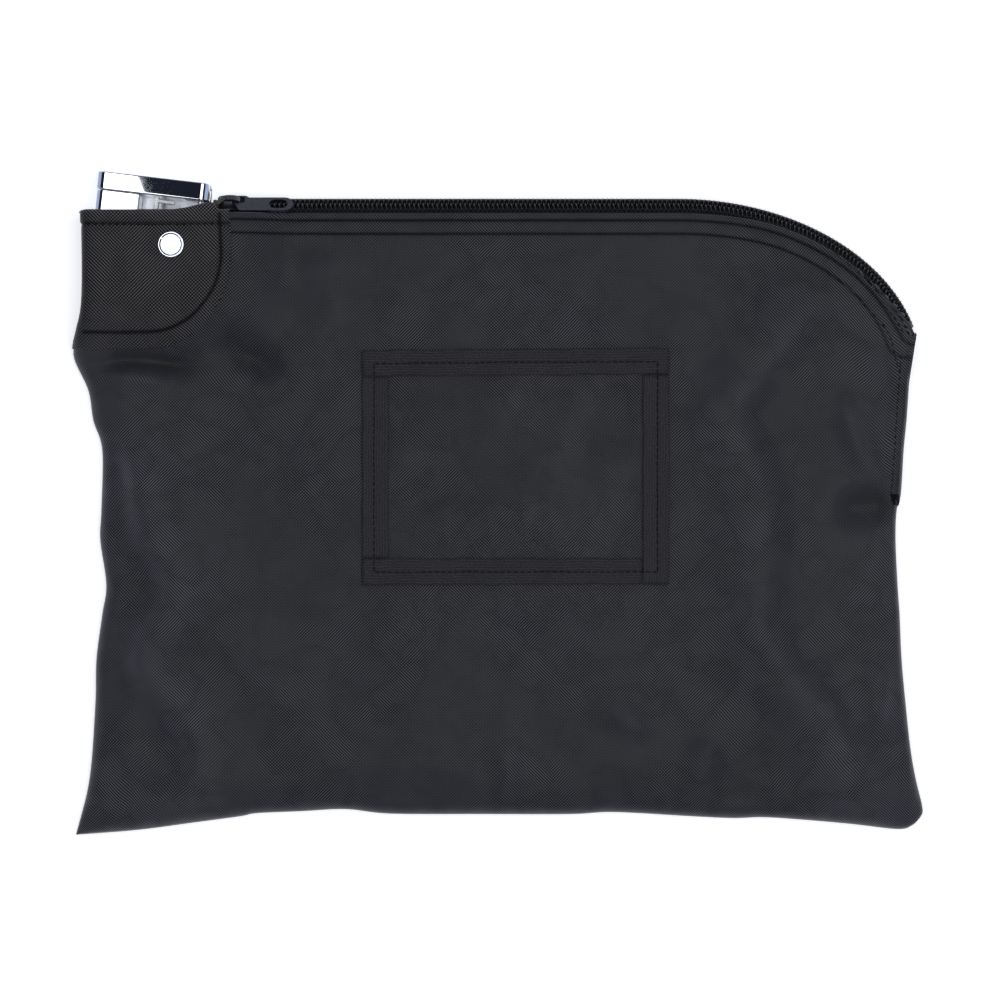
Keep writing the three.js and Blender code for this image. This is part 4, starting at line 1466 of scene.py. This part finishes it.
@dataclass
class ClothStitching:
    """The stitch lines on the bag's cloth."""

    front: FrontCloth
    patch: CornerPatch
    stitcher: Stitcher

    def build(self) -> None:
        """Sew the two lines along the zip, the border of the patch, its hem and the bartack."""
        outline = self.front.outline
        zip_line = outline.zip_line()
        first, second = self.front.stitch_lines
        start = self.patch.right - outline.zip_left + 0.6
        lines = []
        for inside, end in ((first, zip_line.length - 1.0), (second, zip_line.length + 20.0)):
            reach = np.linspace(start, min(end, zip_line.length), 150)
            place = zip_line.at(reach)
            off = (self.front.edge_inset(place[:, 0]) + inside)[:, None]
            place = place - zip_line.normal(reach) * off
            place[:, 1] += 0.12 * np.sin(reach * 0.5)
            lines.append(Line([tuple(p) for p in place], curved=False))
        tail = Line([tuple(lines[1].place[-1]), (178.8, 62.0), (180.6, 56.5)])
        self.stitcher.sew("zip_stitching", self.front.surface, [*lines, tail])
        border = Line(self.patch.right_side(*self.patch.border), curved=False)
        upper = [(x, min(y, 124.4)) for x, y in border.place if x > -171]
        hem = Line([(-181.5, 122.9), (-150.0, 122.7), (-123.4, 123.0)])
        self.stitcher.sew("patch_stitching", self.patch.surface, [Line(upper, curved=False), hem],
                          slot=Slot.PATCH)
        tack = [Line([(176.4 + 0.05 * n, 3.4 - 0.55 * n), (180.4 + 0.05 * n, 3.0 - 0.55 * n)], curved=False)
                for n in range(9)]
        self.stitcher.sew("side_bartack", self.front.surface, tack, pitch=2.0, lift=0.15)
        hem_line = Line([(180.9, 66.0), (179.6, 48.0), (178.4, 30.0), (177.2, 14.0), (176.2, 2.0)])
        self.stitcher.sew("side_hem_stitching", self.front.surface, [hem_line])


# ---------------------------------------------------------------- the card window


@dataclass
class CardWindow:
    """The clear window for a card, with its four binding tapes.

    Args:
        front: The front cloth that it is sewn to.
        left: Its outer left side, in mm.
        right: Its outer right side.
        bottom: Its outer lower side.
        top: Its outer upper side.
        tape: Width of a tape.
        thickness: Thickness of a tape.
        droop: How much lower the top tape is at its left end.
    """

    front: FrontCloth
    left: float = -59.2
    right: float = 77.3
    bottom: float = -37.0
    top: float = 68.3
    tape: float = 11.7
    thickness: float = 0.7
    droop: float = 1.4
    film_lift: float = 0.45

    def build(self, stitcher: Stitcher) -> None:
        """Make the film, the tapes and their stitching.

        Args:
            stitcher: Sews the frame's line.
        """
        self._film()
        half = self.tape / 2
        low, high = self.bottom + half, self.top - half
        near, far = self.left + half, self.right - half
        tapes = {
            "card_binding_left": ((near, self.bottom + self.tape + 0.1), (near, self.top - self.tape - 0.5),
                                  "card_frame_left"),
            "card_binding_right": ((far, self.bottom + 0.1), (far, self.top - self.tape - 0.1),
                                   "card_frame_right"),
            "card_binding_bottom": ((self.left, low), (self.right - self.tape - 0.1, low + 0.3),
                                    "card_frame_bottom"),
            "card_binding_top": ((self.left, high - self.droop * 0.6), (self.right, high + 0.2),
                                 "card_frame_top"),
        }
        for name, (start, end, node) in tapes.items():
            self._strip(name, start, end, node)
        line = [(near - 0.6, high - 0.9), (far + 0.8, high - 0.1), (far + 0.8, low), (near - 0.6, low - 0.1),
                (near - 0.6, high - 0.9)]
        sides = [Line([a, b], curved=False) for a, b in zip(line, line[1:])]
        stitcher.sew("card_window_stitching", self.front.surface, sides, slot=Slot.BINDING,
                     lift=self.film_lift + 0.3 + self.thickness + 0.02, finish=FRAME_THREAD, pitch=2.9)

    def _film(self) -> None:
        """Make the clear film, hanging a little slack over the cloth."""
        columns = np.linspace(self.left + 2, self.right - 2, 84)
        rows = np.linspace(self.bottom + 2, self.top - 2, 66)
        plane = np.stack(np.meshgrid(columns, rows), -1)
        points = self.front.surface.laid(plane, self.film_lift, upright=True)
        heights = points[..., 2].copy()
        for _ in range(10):
            padded = np.pad(heights, 1, mode="edge")
            around = (padded[:-2, 1:-1] + padded[2:, 1:-1] + padded[1:-1, :-2] + padded[1:-1, 2:]) / 4
            heights = np.maximum(points[..., 2] - 0.1 * MM, 0.5 * heights + 0.5 * around)
        points[..., 2] = heights
        piece = cloth_piece("window_film", points, 0.2 * MM)
        dress(piece, FILM, Body.BAG, ["card_window_film"])

    def _strip(self, name: str, start: Point, end: Point, node: str) -> None:
        """Make one tape, with its two bound edges a little thicker than its middle.

        Args:
            name: The piece's name.
            start: One end of its centreline, in mm.
            end: The other end.
            node: The CAD node that it replaces.
        """
        first, last = np.array(start), np.array(end)
        length = float(np.hypot(*(last - first)))
        ahead = (last - first) / length
        aside = np.array([-ahead[1], ahead[0]])
        half = self.tape / 2
        along = np.linspace(0, length, max(8, int(length / 1.6)))
        across = np.array([-1, -0.985, -0.95, -0.88, -0.8, -0.6, -0.35, -0.12, 0, 0.12, 0.35, 0.6, 0.8, 0.88, 0.95,
                           0.985, 1]) * half
        waver = 0.14 * np.sin(along * 0.23 + start[0]) + 0.08 * np.sin(along * 0.61 + start[1])
        plane = (first + along[:, None, None] * ahead + (across[None, :] + waver[:, None])[..., None] * aside)
        share = np.abs(across) / half
        crown = 0.10 * np.exp(-((share - 0.9) / 0.06) ** 2) - 0.28 * smooth_step(share, 0.94, 1.0)
        seam = -0.16 * np.exp(-((across - 0.6 * np.sign(aside.sum())) / 0.5) ** 2)
        lift = self.film_lift + 0.3 + self.thickness + np.broadcast_to(crown + seam, plane.shape[:2])
        points = self.front.surface.laid(plane, lift, upright=True)
        piece = cloth_piece(name, points.transpose(1, 0, 2), self.thickness * MM, straight=False)
        cleaned(piece)
        dress(piece, BINDING, Body.BAG, [node])


FRAME_THREAD = Thread("tape_thread", (0.0025, 0.0025, 0.003))


# ---------------------------------------------------------------- the zip


@dataclass
class Zip:
    """The coil zip: two interlocked coils on the frame's own tapes, with its two stops.

    Args:
        outline: The bag's outline, whose top line the zip follows.
        start: Place of the chain's start across the bag, in mm.
        end_inset: How far before the line's end the chain ends.
        tilt: How far the chain leans outwards, in radians.
        centre: Distance of its middle from the outer line, and its height, in mm.
        pitch: Distance from one coil to the next.
        half_width: Half the width of one coil's loop.
        half_height: Half its height.
        wire: Radius of the wire.
    """

    outline: BagOutline
    start: float = -123.6
    end_inset: float = 3.4
    tilt: float = math.radians(40.0)
    centre: Point = (-2.3, 7.2)
    pitch: float = 2.07
    half_width: float = 1.72
    half_height: float = 1.2
    wire: float = 0.37

    def build(self) -> None:
        """Make the coils and dress the tapes and stops."""
        for side, name, node in ((-1, "front_coil", "zipper_teeth_front"), (1, "back_coil", "zipper_teeth_back")):
            self._coil(side, name, node)
        self._front_tape()
        dress_node("zipper_tape_back", ZIP_TAPE)
        for node, name in (("zipper_top_stop", "top_stop"), ("zipper_bottom_stop", "bottom_stop")):
            stop = copy_of(node, name)
            rounded(stop, 0.0005, 3)
            smooth_shaded(stop)
            dress(stop, STOP, Body.BAG, [node])

    def _front_tape(self) -> None:
        """Lay the front's tape from its coil to well under the folded cloth."""
        line = self.outline.zip_line()
        begin = self.start - self.outline.zip_left
        reach = np.linspace(begin, line.length - self.end_inset, 190)
        place, outward = line.at(reach), line.normal(reach)
        section = ((-17.0, 9.3), (-12.0, 9.4), (-7.6, 9.45), (-6.6, 9.35), (-5.6, 9.05), (-4.7, 8.5), (-4.0, 7.9))
        rows = [np.concatenate([place + outward * n, np.full((len(reach), 1), z)], -1) for n, z in section]
        piece = cloth_piece("front_tape", np.stack(rows) * MM, 0.4 * MM, straight=False)
        dress(piece, FRONT_TAPE, Body.BAG, ["zipper_tape_front"])

    def _coil(self, side: int, name: str, node: str) -> None:
        """Wind one coil as a wire along the zip.

        Args:
            side: -1 for the front tape's coil, 1 for the back's.
            name: The piece's name.
            node: The CAD node that it replaces.
        """
        line = self.outline.zip_line()
        begin = self.start - self.outline.zip_left
        length = line.length - self.end_inset - begin
        turns = int(length / self.pitch)
        per_turn = 10
        angle = np.arange(turns * per_turn + 1) * 2 * math.pi / per_turn
        reach = begin + angle / (2 * math.pi) * self.pitch + (self.pitch / 2 if side > 0 else 0)
        across = side * (self.half_width - 0.12 - self.half_width * np.cos(angle))
        height = self.half_height * np.sin(angle)
        place, outward = line.at(reach), line.normal(reach)
        out = self.centre[0] + across * math.cos(self.tilt) + height * math.sin(self.tilt)
        up = self.centre[1] - across * math.sin(self.tilt) + height * math.cos(self.tilt)
        points = np.concatenate([place + outward * out[:, None], up[:, None]], -1) * MM
        curve = bpy.data.curves.new(name, "CURVE")
        curve.dimensions = "3D"
        curve.bevel_depth = self.wire * MM
        curve.bevel_resolution = 1
        curve.use_fill_caps = True
        spline = curve.splines.new("POLY")
        spline.points.add(len(points) - 1)
        spline.points.foreach_set("co", np.concatenate([points, np.ones((len(points), 1))], -1).ravel())
        wound = bpy.data.objects.new(name, curve)
        bpy.context.scene.collection.objects.link(wound)
        only(wound)
        bpy.ops.object.convert(target="MESH")
        piece = added(name)
        cleaned(piece)
        bpy.ops.object.shade_smooth()
        dress(piece, COIL, Body.BAG, [node])


def dress_node(node: str, finish: Finish) -> None:
    """Give a CAD node that keeps its shape a finish.

    Args:
        node: The node.
        finish: The finish.
    """
    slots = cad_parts[node].material_slots
    for slot in slots:
        slot.material = finish.material()
    log.info("%s: finished in %s", node, finish.name)


@dataclass
class Slider:
    """The zip's slider with its tongue, and its pull tab."""

    edge: float = 0.35
    pull_edge: float = 0.3

    def build(self) -> None:
        """Make the slider and its pull from their nodes' shapes, with softened edges."""
        slider = copy_of("slider_body", "zip_slider")
        rounded(slider, self.edge * MM, 2)
        flat_shaded_true(slider)
        dress(slider, ENAMEL, Body.SLIDER, ["slider_body"])
        pull = copy_of("pull_tab", "zip_pull")
        rounded(pull, self.pull_edge * MM, 2)
        flat_shaded_true(pull)
        dress(pull, ENAMEL, Body.PULL, ["pull_tab"])


# ---------------------------------------------------------------- the lock


@dataclass
class Lock:
    """The push lock in the bag's corner.

    Args:
        edge: Width of the rounding on its sharp edges, in mm.
        press: The line that the plunger is pressed along; not used.
        spring: Length of its spring at rest, in mm; not used.
    """

    edge: float = 0.8
    press: tuple[float, float, float] = (0.114937, 0.993373, 0.0)
    spring: float = 9.4

    def build(self) -> None:
        """Make the visible parts with soft edges and dress the inner ones."""
        shown = (
            ("push_cap", "cap_block", CHROME, Body.PLUNGER, Slot.CHROME, self.edge),
            ("plunger_stem", "cap_stem", CHROME, Body.PLUNGER, Slot.CHROME, self.edge),
            ("latch_bracket", "latch_arm", STEEL, Body.PLUNGER, Slot.STEEL, 0.25),
            ("lock_housing", "housing_case", SATIN_CHROME, Body.BAG, Slot.CHROME, 0.4),
            ("lock_back_plate", "housing_back", ZINC, Body.BAG, Slot.CHROME, 0.3),
        )
        for node, name, finish, body, slot, edge in shown:
            piece = copy_of(node, name)
            rounded(piece, edge * MM, 4, clamped=node != "push_cap")
            flat_shaded_true(piece)
            dress(piece, finish, body, [node])
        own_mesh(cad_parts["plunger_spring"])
        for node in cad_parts:
            if node.startswith(("key_pin", "driver_pin", "cylinder", "key_plug")):
                dress_node(node, BRASS)
            elif node.startswith(("pin_spring", "plug_cam", "latch_bolt", "plunger_spring", "locking_pin")):
                dress_node(node, STEEL)


@dataclass
class Rivet:
    """The rivet through the corner: a broad flat head with a rolled rim, and a washer behind."""

    head: float = 5.7
    rim: float = 0.5
    sides: int = 64
    lean: float = math.radians(2.6)

    def build(self) -> None:
        """Model the head by insets from a disc, and dress the washer."""
        low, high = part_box("rivet_front_cap")
        middle = (low + high) / 2
        height = 1.3 * MM
        bpy.ops.object.select_all(action="DESELECT")
        bpy.ops.mesh.primitive_cylinder_add(vertices=self.sides, radius=self.head * MM, depth=height,
                                            location=(middle.x, middle.y, high.z - height / 2),
                                            rotation=(0.0, -self.lean, 0.0))
        piece = added("rivet_head")
        settle(piece)
        bpy.ops.object.mode_set(mode="EDIT")
        choose(piece, "FACE", lambda at, normal: normal.z > 0.9)
        bpy.ops.mesh.inset(thickness=self.rim * MM, depth=0.0)
        bpy.ops.mesh.inset(thickness=0.5 * MM, depth=-0.22 * MM)
        bpy.ops.mesh.inset(thickness=0.35 * MM, depth=0.2 * MM)
        choose(piece, "FACE", lambda at, normal: normal.z < -0.9)
        bpy.ops.mesh.inset(thickness=(self.head - 2.0) * MM, depth=0.0)
        bpy.ops.mesh.extrude_region_move(TRANSFORM_OT_translate={"value": (0, 0, low.z - high.z + height)})
        bpy.ops.object.mode_set(mode="OBJECT")
        rounded(piece, 0.28 * MM, 3, 62.0)
        cleaned(piece)
        flat_shaded_true(piece, 14.0)
        dress(piece, CHROME, Body.BAG, ["rivet_front_cap"])
        washer = copy_of("rivet_back_cap", "rivet_washer")
        rounded(washer, 0.2 * MM)
        smooth_shaded(washer)
        dress(washer, SATIN_CHROME, Body.BAG, ["rivet_back_cap"])


# ---------------------------------------------------------------- the studio


@dataclass
class Studio:
    """The pale floor and wall, two soft boxes overhead and the camera.

    Args:
        aim: The point below the camera, in metres.
        distance: The camera's height.
        view: Width of what it sees at the bag's height.
        box_height: Height of the soft boxes.
        radiance: Their brightness.
        glow: Brightness of the floor by itself.
        wall: The wall's colour.
        boxes: Left and right sides of the soft boxes, in metres.
    """

    aim: Point = (0.00214, 0.0008)
    distance: float = 1.5
    view: float = 0.445
    box_height: float = 2.0
    radiance: float = 3.0
    glow: float = 0.62
    wall: Colour = (0.42, 0.47, 0.60)
    boxes: Sequence[tuple[float, float]] = ((-0.80, -0.371), (0.18, 1.05))

    def build(self) -> None:
        """Set up the floor, the wall, the lights, the sky and the camera."""
        scene = bpy.context.scene
        scene.view_settings.view_transform = "Standard"
        scene.view_settings.look = "None"
        self._room()
        for n, (left, right) in enumerate(self.boxes):
            self._soft_box(f"soft_box_{n + 1}", left, right)
        world = bpy.data.worlds.new("night_blue")
        world.use_nodes = True
        background = world.node_tree.nodes["Background"]
        background.inputs["Color"].default_value = (0.012, 0.014, 0.024, 1.0)
        scene.world = world
        data = bpy.data.cameras.new("overhead")
        data.sensor_width = 36.0
        data.lens = 36.0 * (self.distance - 0.011) / self.view
        data.clip_start = 0.05
        camera = bpy.data.objects.new("overhead", data)
        camera.location = (*self.aim, self.distance)
        scene.collection.objects.link(camera)
        scene.camera = camera

    def _soft_box(self, name: str, left: float, right: float) -> None:
        """Hang one soft box.

        Args:
            name: Its name.
            left: Its left side, in metres.
            right: Its right side.
        """
        data = bpy.data.lights.new(name, "AREA")
        data.shape = "RECTANGLE"
        data.size = right - left
        data.size_y = 1.6
        data.energy = self.radiance * math.pi * data.size * data.size_y
        light = bpy.data.objects.new(name, data)
        light.location = ((left + right) / 2, 0.0, self.box_height)
        bpy.context.scene.collection.objects.link(light)

    def _room(self) -> None:
        """Make the floor that curves up into a low wall all round."""
        bpy.ops.object.select_all(action="DESELECT")
        bpy.ops.mesh.primitive_circle_add(vertices=96, radius=5.0, fill_type="NGON", location=(0, 0, -0.0003))
        room = added("pale_room")
        bpy.ops.object.mode_set(mode="EDIT")
        bpy.ops.mesh.select_mode(type="EDGE")
        bpy.ops.mesh.select_all(action="SELECT")
        for out, up in ((0.35, 0.12), (0.2, 0.25), (0.08, 0.5), (0.0, 3.6)):
            bpy.ops.mesh.extrude_edges_move(TRANSFORM_OT_translate={"value": (0, 0, up)})
            reach = 1 + out / 5.0
            bpy.ops.transform.resize(value=(reach, reach, 1.0))
        bpy.ops.object.mode_set(mode="OBJECT")
        settle(room)
        smooth_shaded(room, 60)
        for name, glow in (("pale_paper", (1.0, 1.0, 1.0)), ("grey_wall", self.wall)):
            graph = Graph(name)
            grain = graph.noise(graph.place(), 220, 3.0)
            graph.surface(tuple(0.88 * c for c in glow), graph.span(grain, 0.3, 0.7, 0.85, 0.95),
                          graph.bump(grain, 0.00002), Emission_Color=glow, Emission_Strength=self.glow,
                          Specular_IOR_Level=0.1)
            room.data.materials.append(graph.material)
        for face in room.data.polygons:
            face.material_index = int(face.center.z > 0.05)


def main() -> None:
    """Build the bag and the studio."""
    logging.basicConfig(level=logging.INFO, format="%(name)s %(message)s")
    bpy.ops.object.select_all(action="DESELECT")
    outline = BagOutline()
    Studio().build()
    front = FrontCloth(outline)
    front.build()
    BackCloth(outline).build()
    patch = CornerPatch(front)
    patch.build()
    stitcher = Stitcher()
    ClothStitching(front, patch, stitcher).build()
    CardWindow(front).build(stitcher)
    Zip(outline).build()
    Slider().build()
    Lock().build()
    Rivet().build()


if __name__ == "__main__":
    main()
